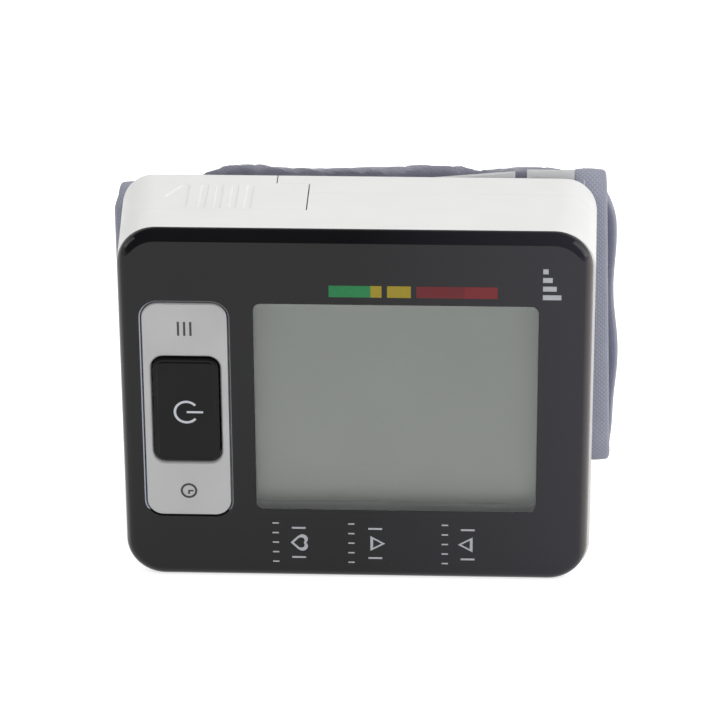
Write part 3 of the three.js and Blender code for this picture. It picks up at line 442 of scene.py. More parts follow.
def block(name, low, high):
    """A box between two corners."""
    low, high = Vector(low), Vector(high)
    bpy.ops.object.select_all(action="DESELECT")
    bpy.ops.mesh.primitive_cube_add(size=1, location=(low + high) / 2)
    bpy.context.object.scale = high - low
    return named(name)


def rod(name, start, end, radius, sides=48):
    """A round rod between two points."""
    start, end = Vector(start), Vector(end)
    turn = (end - start).to_track_quat("Z", "Y").to_euler()
    bpy.ops.object.select_all(action="DESELECT")
    bpy.ops.mesh.primitive_cylinder_add(
        vertices=sides, radius=radius, depth=(end - start).length, location=(start + end) / 2, rotation=turn)
    return named(name)


def pick(piece, kind, test):
    """Opens a piece in edit mode with just the parts selected that pass a test."""
    only(piece)
    bpy.ops.object.mode_set(mode="EDIT")
    bpy.ops.mesh.select_mode(type=kind)
    bpy.ops.mesh.select_all(action="DESELECT")
    mesh = bmesh.from_edit_mesh(piece.data)
    parts = {"EDGE": mesh.edges, "FACE": mesh.faces, "VERT": mesh.verts}[kind]
    for part in parts:
        part.select_set(test(part))
    mesh.select_flush_mode()
    bmesh.update_edit_mesh(piece.data)


def edit_all(piece):
    """Opens a piece in edit mode with all of it selected."""
    only(piece)
    bpy.ops.object.mode_set(mode="EDIT")
    bpy.ops.mesh.select_all(action="SELECT")


def leave_edit():
    bpy.ops.object.mode_set(mode="OBJECT")


def linked(name, data):
    """A new object in the scene."""
    piece = bpy.data.objects.new(name, data)
    bpy.context.scene.collection.objects.link(piece)
    return piece


def along_y(edge):
    """Whether an edge runs straight from front to back."""
    first, second = (vert.co for vert in edge.verts)
    return abs(first.x - second.x) < TINY and abs(first.z - second.z) < TINY


def at_depth(y):
    """A test for parts that lie wholly in one plane across Y."""
    return lambda part: all(abs(vert.co.y - y) < TINY for vert in part.verts)


def bevel(piece, test, width, steps):
    """Rounds the edges that pass a test."""
    pick(piece, "EDGE", test)
    bpy.ops.mesh.bevel(offset=width, segments=steps, affect="EDGES", clamp_overlap=False)
    leave_edit()


def rounded(name, low, high, corner, front=0.0, back=0.0):
    """A block with round corners as the front is seen, and a round front or back rim."""
    piece = block(name, low, high)
    bevel(piece, along_y, corner, CORNER_STEPS)
    if front:
        bevel(piece, at_depth(low[1]), front, ROUND_STEPS)
    if back:
        bevel(piece, at_depth(high[1]), back, ROUND_STEPS)
    return piece


def room(low, high, gap, front, back):
    """The corners of a box that is a gap wider than another all round, between two depths."""
    return (low[0] - gap, front, low[2] - gap), (high[0] + gap, back, high[2] + gap)


def rim_at(y, low, high, reach):
    """A test for edges in one plane across Y whose middle lies in a box or within reach of it."""
    (start_x, _, start_z), (end_x, _, end_z) = room(low, high, reach, y, y)

    def test(edge):
        middle = (edge.verts[0].co + edge.verts[1].co) / 2
        return at_depth(y)(edge) and start_x < middle.x < end_x and start_z < middle.z < end_z
    return test


print("Helpers ready: block, rod, rounded, room")

# %% Helpers for cutting, joining and softening
SHARP = math.radians(34)


def with_modifier(piece, kind, **values):
    """Adds a modifier, sets it and applies it."""
    only(piece)
    bpy.ops.object.modifier_add(type=kind)
    modifier = piece.modifiers[-1]
    for label, value in values.items():
        setattr(modifier, label, value)
    bpy.ops.object.modifier_apply(modifier=modifier.name)
    return piece


def shaped(piece, operation, tools):
    """Cuts, joins or trims a piece by others, which are then gone."""
    for tool in tools:
        with_modifier(piece, "BOOLEAN", operation=operation, solver="EXACT", object=tool)
        bpy.data.objects.remove(tool)
    return piece


def cut(piece, *tools):
    return shaped(piece, "DIFFERENCE", tools)


def unite(piece, *others):
    return shaped(piece, "UNION", others)


def soften(piece, width):
    """Breaks every sharp edge by a small round, as on any moulded piece."""
    return with_modifier(piece, "BEVEL", width=width, segments=2, limit_method="ANGLE",
                         angle_limit=SHARP, miter_outer="MITER_ARC")


def settle(piece, material, body, slot, *nodes):
    """Gives a finished piece its shading, finish and body, and hides the nodes that it stands for."""
    only(piece)
    bpy.ops.object.shade_smooth_by_angle(angle=SHARP)
    with_modifier(piece, "WEIGHTED_NORMAL", keep_sharp=True)
    if material and not piece.data.materials:
        piece.data.materials.append(material)
    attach(piece, body)
    if nodes:
        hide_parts(*nodes)
    print(piece.name, "has", len(piece.data.polygons), "faces")
    return piece


def joined(name, pieces):
    """Several loose shapes as one piece."""
    only(*pieces)
    if len(pieces) > 1:
        bpy.ops.object.join()
    piece = bpy.context.object
    piece.name = name
    piece.data.name = name
    return piece


# %% [markdown]
# ## The case's outline
# The frame says how large the case is, and where the window, the buttons and the seams lie. The
# corner radii and the wall repeat those of the frame's solids. All later pieces use these values.

# %% Sizes of the case
overrun = 5 * MM
wall = 1.8 * MM
case_corner = 7 * MM
rear_round = 3 * MM
panel_corner = 6.7 * MM
x0, x1 = panel_low.x, panel_high.x
z0, z1 = panel_low.z, panel_high.z
front_y, panel_back = panel_low.y, panel_high.y
case_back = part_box("rear_shell")[1].y
seam_front = 3.6 * MM
seam_back = 3.64 * MM
shell_inner = panel_back + wall
back_inner = case_back - wall
print("Case", [round(value / MM, 2) for value in (x0, x1, front_y, case_back, z0, z1)], "mm")

# %% [markdown]
# ## The black face panel
# The panel is one gloss black moulding with a quarter-round rim, a window, and an opening for the
# buttons. A plane with a thickness would lose the rim, which catches the lamps as thin light lines.
# So it is a rounded block, cut by the window and the opening, whose cut rims are softened after.

# %% Face panel
lens_low, lens_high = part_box("window_lens")
plate_low, plate_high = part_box("button_plate")
lens_low.z -= 0.55 * MM
lens_high.x += 0.15 * MM
pane_gap = 0.03 * MM
groove = 0.2 * MM
plate_shift = -0.15 * MM
window_corner = 1.3 * MM
plate_corner = 2.8 * MM
frame_low, frame_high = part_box("lcd_frame")
snug = 0.3 * MM

panel_lip = 0.2 * MM
pocket_corner = 4.2 * MM
plate_x0, plate_x1 = -36 * MM, -21.5 * MM
plate_z0, plate_z1 = plate_low.z + plate_shift, plate_high.z + plate_shift
plate_front, plate_back = plate_low.y, -12.0 * MM
plate_box = (plate_x0, plate_front, plate_z0), (plate_x1, plate_back, plate_z1)

panel = rounded(
    "gloss_panel", (x0, front_y, z0 - panel_lip), panel_high, panel_corner, front=2 * MM)
past_panel = panel_back + overrun
window_cut = rounded(
    "window_cut", *room(lens_low, lens_high, pane_gap, front_y - overrun, past_panel), window_corner)
pocket_cut = rounded(
    "pocket_cut", *room(frame_low, frame_high, snug, lens_high.y, past_panel), pocket_corner)
plate_cut = rounded(
    "plate_cut", *room(*plate_box, groove, front_y - overrun, past_panel), plate_corner + groove)
cut(panel, window_cut, pocket_cut, plate_cut)
bevel(panel, rim_at(front_y, *plate_box, 1 * MM), 0.22 * MM, 3)
print("Panel cut:", len(panel.data.polygons), "faces")

# %% [markdown]
# The real panel is dark clear plastic, printed black behind. The faces of the cut round the buttons
# get a second, lighter grey finish, a painted highlight for the thin light line that the rim catches,
# brighter towards the left. A brown grey rim at both sides is painted reflection. The line could be
# a piece of its own, but the faces of the cut are there. The rims are masks on the place of each point, so
# they fade.

# %% Light edges of the panel
reflection_rim_left, reflection_rim_right = 0.95 * MM, 1.4 * MM
cut_rim = finish("cut_rim", (0.14, 0.145, 0.165), 0.3, tone=0.1)
# Painted highlight: the cut's faces are lighter towards the left, as if lit by the lamp on the right.
toned(cut_rim, "Object", "X", plate_x0 + 1.5 * MM, plate_x0, (0.36, 0.38, 0.46))
for material in (gloss_black, cut_rim):
    panel.data.materials.append(material)
for face in panel.data.polygons:
    inside_x = plate_x0 - 0.6 * MM < face.center.x < plate_x1 + 0.6 * MM
    inside_z = plate_z0 + 1 * MM < face.center.z < plate_z1 + 0.6 * MM
    if inside_x and inside_z and face.normal.y > -0.97 and face.center.y < panel_back - TINY:
        face.material_index = 1

# Painted reflection: the face gets lighter and bluer towards the right.
toned(gloss_black, "Object", "X", 0, x1, (0.020, 0.0195, 0.026))
# Painted reflection: a brown grey rim fades in at each side of the face.
for start, end in ((x0 + reflection_rim_left, x0), (x1 - reflection_rim_right, x1)):
    toned(gloss_black, "Object", "X", start, end, (0.12, 0.108, 0.10))
settle(panel, gloss_black, "case", "face_black", "face_panel")

# %% [markdown]
# ## The window and what lies behind it
# A clear pane closes the window flush with the panel. Its rim is printed grey, or it would shine
# like a line of glass. Behind it a grey bezel frames the display, whose front film is a satin grey
# green while no digits show. The bezel's sill is what the photograph shows as a grey strip along
# the bottom: depth, and not a printed line.

# %% Pane, bezel and display film
pane = rounded("window_pane", lens_low, lens_high, window_corner - pane_gap)
soften(pane, 0.03 * MM)
for material in (clear_pane, bezel_grey):
    pane.data.materials.append(material)
for face in pane.data.polygons:
    face.material_index = 0 if abs(face.normal.y) > 0.9 else 1
settle(pane, clear_pane, "case", "lens_clear", "window_lens")

glass_low, glass_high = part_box("lcd_glass")
bezel = rounded("display_bezel", frame_low, frame_high, 3.9 * MM)
past_frame = frame_high.y + overrun
sight = rounded("sight", *room(lens_low, lens_high, pane_gap, front_y, past_frame), window_corner)
glass_room = block("glass_room", *room(glass_low, glass_high, snug, glass_low.y - snug / 2, past_frame))
cut(bezel, sight, glass_room)
soften(bezel, 0.08 * MM)
settle(bezel, bezel_grey, "case", "display_grey", "lcd_frame")

film = rounded("display_film", glass_low, glass_high, 0.6 * MM)
soften(film, 0.12 * MM)
# Painted light: the film gets lighter towards its bottom.
toned(display_grey, "Object", "Z", glass_high.z - 6 * MM, glass_low.z, (0.51, 0.545, 0.49))
settle(film, display_grey, "case", "display_glass", "lcd_glass")

# %% [markdown]
# ## The silver rocker plate
# One silver plate carries both the memory and the set button: it rocks about its middle, and each end
# presses its own switch. Its rim and the rim of its hole are rolled over, which is why the lower lip
# of the hole shines. Two stems behind it reach the switches.

# %% Rocker plate
key_low, key_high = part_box("power_button")
key_cx, key_cz = (plate_x0 + plate_x1) / 2, (plate_z0 + plate_z1) / 2 + 0.15 * MM
key_half_x, key_half_z = 5.6 * MM, 9.8 * MM
key_box = ((key_cx - key_half_x, key_low.y, key_cz - key_half_z),
           (key_cx + key_half_x, key_high.y, key_cz + key_half_z))
key_gap = 0.25 * MM
stem_radius = 1.5 * MM
stem_from_end = 4.9 * MM
stem_sites = plate_z0 + stem_from_end, plate_z1 - stem_from_end

plate = rounded("rocker_plate", *plate_box, plate_corner, front=0.28 * MM)
key_hole = rounded(
    "key_hole", *room(*key_box, key_gap, plate_front - overrun, plate_back + overrun), 2.1 * MM)
cut(plate, key_hole)
bevel(plate, rim_at(plate_front, *key_box, 0.5 * MM), 0.55 * MM, 6)
for z in stem_sites:
    stem_start, stem_end = (key_cx, plate_back - 0.4 * MM, z), (key_cx, plate_high.y, z)
    unite(plate, rod("stem", stem_start, stem_end, stem_radius, 24))
settle(plate, silver_paint, "button_plate", "plate_silver", "button_plate")

# %% [markdown]
# ## The power button
# A satin black cap. Its face stands a little above its rim, which shows as a fine line inside the
# outline, dark at the top and light at the sides. So the front is inset twice and raised once.

# %% Power button
key_flange_y = -8.95 * MM
key_step = 0.2 * MM
key_rim = key_low.y + key_step
key = rounded(
    "power_key", *room(*key_box, 0, key_rim, key_flange_y + 0.5 * MM), 1.9 * MM, front=0.3 * MM)
pick(key, "FACE", at_depth(key_rim))
bpy.ops.mesh.inset(thickness=0.26 * MM, depth=0)
bpy.ops.mesh.inset(thickness=0.2 * MM, depth=key_step)
leave_edit()
flange = rounded(
    "flange", *room(*key_box, 0.9 * MM, key_flange_y, key_flange_y + 0.75 * MM), 2.8 * MM)
stem_start, stem_end = (key_cx, key_flange_y + 0.3 * MM, key_cz), (key_cx, key_high.y, key_cz)
unite(key, flange, rod("key_stem", stem_start, stem_end, stem_radius, 24))
settle(key, satin_black, "power_button", "button_black", "power_button")

# %% [markdown]
# ## Printed marks
# The marks on the face are screen printed, so they are thin flat shapes a few hundredths of a
# millimetre proud. The power sign is the usual ring and bar. Where the real face has words, plain
# signs stand: lines for the memory, a clock for the set button, bars beside the colour scale, and
# under the window a heart and two arrows with a row of small ticks. A ring is a small block spun
# round its centre, and the rest are blocks and rods.

# %% Helpers for marks
INK = 0.03 * MM


def turned_ink(piece, angle, x, z):
    """Turns a mark about a point of the face."""
    edit_all(piece)
    bpy.ops.transform.rotate(value=angle, orient_axis="Y", center_override=(x, front_y, z))
    leave_edit()
    return piece


def ink_block(x, z, half_x, half_z, y=front_y):
    """A flat bar of ink, its middle at x and z."""
    return block("ink", (x - half_x, y - INK, z - half_z), (x + half_x, y + INK / 3, z + half_z))


def ink_arc(x, z, radius, stroke, start, sweep, y, steps=40):
    """A ring or part of one: the end of a stroke, extruded round the centre by spin."""
    bpy.ops.object.select_all(action="DESELECT")
    bpy.ops.mesh.primitive_plane_add(size=1, location=(x + radius, y - INK / 3, z))
    bpy.context.object.scale = (stroke, INK * 4 / 3, 1)
    arc = turned_ink(named("ink"), -start, x, z)
    edit_all(arc)
    bpy.ops.mesh.spin(steps=steps, angle=sweep, center=(x, y, z), axis=(0, -1, 0))
    bpy.ops.mesh.select_all(action="SELECT")
    bpy.ops.mesh.remove_doubles(threshold=TINY * 10)
    bpy.ops.mesh.normals_make_consistent(inside=False)
    leave_edit()
    return arc


def ink_dot(x, z, radius):
    return rod("ink", (x, front_y - INK, z), (x, front_y + INK / 3, z), radius, 32)


def printed(name, shapes, material, body, slot):
    """Joins the shapes of one mark and settles it."""
    return settle(joined(name, shapes), material, body, slot)


# %% Power sign, memory lines and clock
sign_x, sign_z = -28.75 * MM, z1 - 33.52 * MM
power_ring = ink_arc(sign_x, sign_z, 1.97 * MM, 0.42 * MM, math.radians(40), math.radians(280), key_low.y)
power_bar = ink_block(sign_x + 1.45 * MM, sign_z, 1.4 * MM, 0.19 * MM, key_low.y)
printed("power_sign", [power_ring, power_bar], light_print, "power_button", "button_black")

memory_z = z1 - 17.9 * MM
lines = [ink_block(key_cx + shift * MM, memory_z, 0.19 * MM, 1.3 * MM, plate_front)
         for shift in (-1.05, 0, 1.05)]
printed("memory_sign", lines, dark_print, "button_plate", "plate_silver")

clock_z = z1 - 49.0 * MM
clock_ring = ink_arc(key_cx, clock_z, 1.25 * MM, 0.38 * MM, 0.0, 2 * math.pi, plate_front)
long_hand = ink_block(key_cx + 0.33 * MM, clock_z, 0.46 * MM, 0.15 * MM, plate_front)
short_hand = ink_block(key_cx, clock_z - 0.38 * MM, 0.15 * MM, 0.28 * MM, plate_front)
printed("clock_sign", [clock_ring, long_hand, short_hand], dark_print, "button_plate", "plate_silver")

# %% Colour scale above the window
scale_low, scale_high = z1 - 11.66 * MM, z1 - 9.52 * MM
ink_look = {"grain": 0.1 * MM, "Specular_IOR_Level": 0.3}
green_ink = finish("green_ink", (0.010, 0.175, 0.052), 0.3, **ink_look)
yellow_ink = finish("yellow_ink", (0.29, 0.22, 0.014), 0.3, **ink_look)
dark_red_ink = finish("dark_red_ink", (0.12, 0.010, 0.013), 0.3, **ink_look)
red_ink = finish("red_ink", (0.155, 0.013, 0.017), 0.3, **ink_look)
scale_parts = [
    ("scale_green", -4.3, 2.74, green_ink), ("scale_yellow_low", 2.74, 4.59, yellow_ink),
    ("scale_yellow_high", 5.51, 9.5, yellow_ink), ("scale_red_low", 10.43, 18.5, dark_red_ink),
    ("scale_red_high", 18.5, 24.04, red_ink),
]
for name, start, end, ink in scale_parts:
    middle, half = (start + end) / 2 * MM, (end - start) / 2 * MM
    bar = ink_block(middle, (scale_low + scale_high) / 2, half, (scale_high - scale_low) / 2)
    printed(name, [bar], ink, "case", "face_black")

# %% Signs beside and below the window


def heart(x, z, size):
    """Two round lobes and a square on its tip. Up is towards +X."""
    lobe = size * 0.26
    middle = x - size * 0.02
    square = turned_ink(ink_block(middle, z, size * 0.27, size * 0.27), math.radians(45), middle, z)
    return unite(square, *[ink_dot(x + size * 0.17, z + way * size * 0.19, lobe) for way in (-1, 1)])


def outlined(shape, inner):
    """Leaves only the outline of a sign: a smaller one, made deeper, is cut from it."""
    edit_all(inner)
    bpy.ops.transform.resize(value=(1, 4, 1), center_override=(0, front_y - INK / 3, 0))
    leave_edit()
    return cut(shape, inner)


def arrow(x, z, size, up):
    """A triangle that points to +X or away from it."""
    bpy.ops.object.select_all(action="DESELECT")
    bpy.ops.mesh.primitive_cylinder_add(
        vertices=3, radius=size / 2, depth=INK * 4 / 3, location=(x, front_y - INK / 3, z),
        rotation=(math.pi / 2, 0, 0))
    return turned_ink(named("ink"), math.radians(90 if up else -90), x, z)


def ticks(x, z, count=5):
    """A short row of fine ticks, like the foot line of a scale."""
    pitch = 1.9 * MM
    start = z - pitch * (count - 1) / 2
    return [ink_block(x, start + i * pitch, 0.55 * MM, 0.13 * MM) for i in range(count)]


def pointer(x, z, up):
    """An outlined triangle."""
    shift = 0.12 * MM if up else -0.12 * MM
    return outlined(arrow(x, z, 3.4 * MM, up), arrow(x - shift, z, 2.0 * MM, up))


def sign(name, shape, x, ticks_x):
    """A sign between two short lines, with a row of ticks to its left."""
    lines = [ink_block(x, sign_row_z + way * 2.9 * MM, 1.2 * MM, 0.17 * MM) for way in (-1, 1)]
    return printed(name, [shape, *lines, *ticks(ticks_x, sign_row_z)], sign_print, "case", "face_black")


sign_row_z = z1 - 59.0 * MM
pulse_x, lower_x, upper_x = -9.9 * MM, 3.35 * MM, 19.35 * MM
pulse = outlined(heart(pulse_x, sign_row_z, 3.6 * MM), heart(pulse_x, sign_row_z, 2.3 * MM))
sign("pulse_sign", pulse, pulse_x, -13.9 * MM)
sign("lower_sign", pointer(lower_x, sign_row_z, False), lower_x, -0.8 * MM)
sign("upper_sign", pointer(upper_x, sign_row_z, True), upper_x, 15.4 * MM)
bar_z = z1 - 8.9 * MM
bars = [ink_block((31.6 + height / 2) * MM, bar_z - shift * MM, height / 2 * MM, 0.45 * MM)
        for shift, height in ((-2.4, 0.9), (-0.8, 1.6), (0.8, 2.3), (2.4, 3.1))]
printed("level_sign", bars, sign_print, "case", "face_black")

# %% [markdown]
# ## The white case
# The case is two mouldings that meet in a seam near the back, and a battery cover that slides off to
# the left. Each is the same rounded outer block with the same inner block cut away, trimmed to its
# own share. The case grows a little wider towards the back, so that the mould lets it go, and its
# corners get tighter there: each vertex of the block is moved out by its depth. The fit is close, so
# only the two ends of the cover show as dark slits.

# %% Helpers for the case's walls
cover_front = -3.5 * MM
cover_step = 7.4 * MM
cover_x1 = -8.5 * MM
cover_rear_x1 = -14.1 * MM
cover_rail = 2.4 * MM
cover_gap, cover_side_gap = 0.2 * MM, 0.03 * MM
button_guide = 0.3 * MM
left_spread, right_spread = (0.0, 1.05 * MM), (0.42 * MM, 0.95 * MM)
back_corner = 5.5 * MM
edge_break = 0.06 * MM


def flared(piece):
    """Widens the case's block towards the back, and tightens its corners there."""
    middle = Vector(((x0 + x1) / 2, 0, (z0 + z1) / 2))
    flat_x, flat_z = (x1 - x0) / 2 - case_corner, (z1 - z0) / 2 - case_corner
    for vert in piece.data.vertices:
        share = (vert.co.y - panel_back) / (case_back - panel_back)
        corner = case_corner + (back_corner - case_corner) * share
        away = vert.co - middle
        near, far = right_spread if away.x > 0 else left_spread
        wide = (x1 - x0) / 2 + near + (far - near) * share - corner
        high = (z1 - z0) / 2 - corner
        past_x, past_z = abs(away.x) - flat_x, abs(away.z) - flat_z
        reach = math.hypot(max(0, past_x), max(0, past_z))
        grown = (reach - case_corner + corner) / reach if reach > TINY else 0
        new_x = wide + past_x * grown if past_x > 0 else wide * abs(away.x) / flat_x
        new_z = high + past_z * grown if past_z > 0 else high * abs(away.z) / flat_z
        vert.co.x = middle.x + math.copysign(new_x, away.x)
        vert.co.z = middle.z + math.copysign(new_z, away.z)
    return piece


def case_walls(name, y_low, y_high, floor_y=None):
    """The case between two depths. With a floor it is closed at the front by the panel's seat."""
    has_back = y_high == case_back
    outer = flared(rounded(
        name, (x0, y_low, z0), (x1, y_high, z1), case_corner, back=rear_round if has_back else 0))
    inner_front = floor_y if floor_y else y_low - overrun
    inner_back = back_inner if has_back else y_high + overrun
    inner = rounded(
        "inner", *room((x0, 0, z0), (x1, 0, z1), -wall, inner_front, inner_back),
        case_corner - wall, back=rear_round - wall if has_back else 0)
    return cut(outer, inner)


def cover_room(end_gap, side_gap):
    """The room of the battery cover in the walls: its top flange and its rear plate."""
    low = (x0 - overrun, cover_front - side_gap, cover_rail - side_gap)
    flange = block("flange_room", low, (cover_x1 + end_gap, cover_step + side_gap, z1 + overrun))
    rear = block("rear_room", low, (cover_rear_x1 + end_gap, case_back + overrun, z1 + overrun))
    return unite(flange, rear)


# %% Front shell
shell_front = case_walls("shell_front", panel_back, seam_front, shell_inner)
frame_hole = rounded(
    "frame_hole", *room(frame_low, frame_high, snug, front_y, shell_inner + overrun), pocket_corner)
past_seat = shell_inner + 0.1 * MM
key_guide = rounded("key_guide", *room(*key_box, button_guide, front_y, past_seat), 2.2 * MM)
stem_holes = [rod("stem_hole", (key_cx, front_y, z), (key_cx, past_seat, z), 2.3 * MM, 32)
              for z in stem_sites]
cut(shell_front, cover_room(cover_gap, cover_side_gap), frame_hole, key_guide, *stem_holes)
soften(shell_front, edge_break)
settle(shell_front, white_plastic, "case", "case_white", "front_shell")

# %% [markdown]
# The rear shell has two sunk screws at its right end, slots that the cuff's plastic sheet hooks into,
# and the hole where the air hose leaves. They hide behind the cuff but show from the sides.

# %% Rear shell
screw_sites = [(34 * MM, 6.2 * MM), (34 * MM, 59.8 * MM)]
bay_sites = [(-30 * MM, 4.1 * MM), (-30 * MM, 61.9 * MM)]
screw_seat = case_back - 7 * MM
sink_radius = 2.05 * MM
hook_x = 14.5 * MM
port_x, port_z = 27 * MM, 47 * MM
inside, past_back = back_inner - overrun, case_back + overrun

shell_rear = case_walls("shell_rear", seam_back, case_back)
bosses = [rod("boss", (x, seam_back, z), (x, back_inner + wall / 2, z), 2.4 * MM) for x, z in screw_sites]
unite(shell_rear, *bosses)
sinks = [rod("sink", (x, screw_seat, z), (x, past_back, z), sink_radius) for x, z in screw_sites]
slots = [block("slot", (hook_x - snug, inside, z - 1.2 * MM), (hook_x + 7.3 * MM, past_back, z + 2.3 * MM))
         for z in (20 * MM, 37 * MM)]
port = rod("port", (port_x, inside, port_z), (port_x, past_back, port_z), 2.4 * MM)
cut(shell_rear, cover_room(cover_gap, cover_side_gap), *sinks, *slots, port)
soften(shell_rear, edge_break)
settle(shell_rear, white_plastic, "case", "case_white", "rear_shell")

# %% [markdown]
# ## Battery tray
# With the cover off, the two cells lie in a tray of the rear shell: a floor, a divider towards the
# pump and two end walls. Separate blocks are joined and their edges broken.

# %% Battery tray
tray_low, tray_high = -1.8 * MM, -0.6 * MM
divider_x0, divider_x1 = -12.2 * MM, -11 * MM
tray_x0, tray_z0, tray_z1 = x0 + wall + snug, z0 + wall + snug, z1 - wall - snug
tray = rounded("cell_tray", (tray_x0, tray_low, tray_z0), (divider_x1, tray_high, tray_z1), 4.9 * MM)
divider = block("divider", (divider_x0, tray_low, tray_z0), (divider_x1, back_inner, tray_z1))
ends = [block("end", (tray_x0, tray_low, low * MM), (divider_x1, 7.8 * MM, (low + 1) * MM))
        for low in (6.6, 58.4)]
unite(tray, divider, *ends)
posts = [rod("post", (x, tray_low - 2 * MM, z), (x, tray_high + overrun, z), 1.25 * MM, 24)
         for x, z in bay_sites]
tails = [block("tail", ((x - 1.55) * MM, tray_low - overrun, 57.6 * MM),
               ((x + 1.55) * MM, tray_high + snug, 58.6 * MM)) for x in (-30.95, -19.45)]
cut(tray, *posts, *tails)
soften(tray, 0.12 * MM)
settle(tray, white_plastic, "case", "case_white")

# %% [markdown]
# ## Battery cover
# The cover is the case's own skin, trimmed to an L: a flange on the top side and a plate at the back
# that share the rounded left end. An arrow and four grips are sunk into the flange and show which
# way it slides, and two tongues hold its free edge behind the wall. Dark stripes would be the cheap
# way to draw the grips, but their edges must catch the light, so they are cut with rounded tools.

# %% Grips of the cover
grip_y = (cover_front + cover_step) / 2 - 0.35 * MM
grip_half, grip_depth = 4.8 * MM, 0.2 * MM
grip_top = z1 + 1 * MM


def grip_tool(start, end):
    """A block that sinks a mark into the cover's top between two places along X."""
    return block("grip", (start, grip_y - grip_half, z1 - grip_depth), (end, grip_y + grip_half, grip_top))


grips = [grip_tool((x - 0.7) * MM, (x + 0.7) * MM) for x in (-26.2, -23.6, -21, -18.4)]
arrow_tip, arrow_shoulder, arrow_base = -32.8 * MM, -30.3 * MM, -28.7 * MM
arrow = grip_tool(arrow_shoulder, arrow_base)
pick(arrow, "FACE", lambda face: face.calc_center_median().x < arrow_shoulder + TINY)
bpy.ops.mesh.extrude_region_move(TRANSFORM_OT_translate={"value": (arrow_tip - arrow_shoulder, 0, 0)})
bpy.ops.transform.resize(value=(1, 0, 1), center_override=(arrow_tip, grip_y, grip_top))
bpy.ops.mesh.select_all(action="SELECT")
bpy.ops.mesh.remove_doubles(threshold=0.001 * MM)
leave_edit()
for grip in (arrow, *grips):
    bevel(grip, lambda edge: True, 0.35 * MM, 4)
print("Grips:", len(grips), "and an arrow", round(grip_depth / MM, 2), "mm deep")

# %% Battery cover
cover = case_walls("slide_cover", panel_back, case_back, shell_inner)
shaped(cover, "INTERSECT", [cover_room(0, 0)])
cut(cover, arrow, *grips)
for z in (z1 / 2 - 14 * MM, z1 / 2 + 14 * MM):
    low = (cover_rear_x1 - 2.6 * MM, back_inner - 0.6 * MM, z - 4 * MM)
    blade = block("blade", low, (cover_rear_x1 + 1.6 * MM, back_inner - 0.15 * MM, z + 4 * MM))
    root = block("root", low, (cover_rear_x1 - 0.3 * MM, back_inner + 0.5 * MM, z + 4 * MM))
    unite(cover, unite(blade, root))
soften(cover, edge_break)
settle(cover, white_plastic, "battery_cover", "case_white", "battery_cover")

# %% [markdown]
# ## Fasteners, cells and springs
# The screws are pan heads with a cross. One is modelled and copied to the four seats, each copy with
# its own mesh. A cell is a turned can: steel ends with a crimp, and a printed sleeve between them,
# so faces get their finish by their place.

# %% Screws
head_radius, head_height = 1.75 * MM, 1.4 * MM
shank_radius, shank_length = 0.95 * MM, 7 * MM
cross_half, cross_reach, cross_depth = 0.24 * MM, 0.95 * MM, 0.75 * MM


def pan_screw(name):
    """A screw along Y with its seat at the origin and its head towards +Y."""
    head = rod(name, (0, 0, 0), (0, head_height, 0), head_radius, 40)
    bevel(head, at_depth(head_height), 0.55 * MM, 5)
    bevel(head, at_depth(0), 0.12 * MM, 2)
    shank = rod("shank", (0, -shank_length, 0), (0, 0.3 * MM, 0), shank_radius, 24)
    bevel(shank, at_depth(-shank_length), 0.5 * MM, 3)
    unite(head, shank)
    cross_floor, past_head = head_height - cross_depth, head_height + 1 * MM
    first, second = (
        block("cross", (-half_x, cross_floor, -half_z), (half_x, past_head, half_z))
        for half_x, half_z in ((cross_half, cross_reach), (cross_reach, cross_half)))
    cut(head, unite(first, second))
    return soften(head, 0.04 * MM)


seats = [(x, tray_high, z) for x, z in bay_sites] + [(x, screw_seat, z) for x, z in screw_sites]
model_screw = pan_screw("model_screw")
for number, seat in enumerate(seats, 1):
    screw = linked(f"pan_screw_{number}", model_screw.data.copy())
    screw.data.transform(Matrix.Translation(seat))
    settle(screw, steel, "case", "contact_steel", f"case_screw_{number}")
bpy.data.objects.remove(model_screw)

# %% Cells
cell_radius = 5.25 * MM


def cell(name, node, nub_up):
    """A cell in its sleeve, turned from rods whose rims are rounded."""
    low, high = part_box(node)
    x, y = (low.x + high.x) / 2, (low.y + high.y) / 2
    nub = 0.8 * MM
    can_low, can_high = (low.z, high.z - nub) if nub_up else (low.z + nub, high.z)
    can = rod(name, (x, y, can_low), (x, y, can_high), cell_radius, 64)
    bevel(can, lambda edge: abs(edge.verts[0].co.z - edge.verts[1].co.z) < TINY, 0.45 * MM, 4)
    crimp = can_high - 1.6 * MM if nub_up else can_low + 1.6 * MM
    groove_cut = rod("groove", (x, y, crimp - 0.25 * MM), (x, y, crimp + 0.25 * MM), cell_radius * 1.2, 64)
    groove_keep = rod("keep", (x, y, crimp - 1 * MM), (x, y, crimp + 1 * MM), cell_radius - 0.18 * MM, 64)
    cut(can, cut(groove_cut, groove_keep))
    tip = (x, y, high.z if nub_up else low.z)
    pin = rod("pin", (x, y, (low.z + high.z) / 2), tip, 1.9 * MM, 40)
    unite(can, pin)
    soften(can, 0.12 * MM)
    for material in (cell_blue, steel):
        can.data.materials.append(material)
    for face in can.data.polygons:
        to_axis = math.hypot(face.center.x - x, face.center.y - y)
        face.material_index = 0 if to_axis > cell_radius - 0.5 * MM and abs(face.normal.z) < 0.7 else 1
    return settle(can, None, "case", "cell_wrap", node)


cell("cell_left", "battery_1", True)
cell("cell_right", "battery_2", False)

# %% Springs


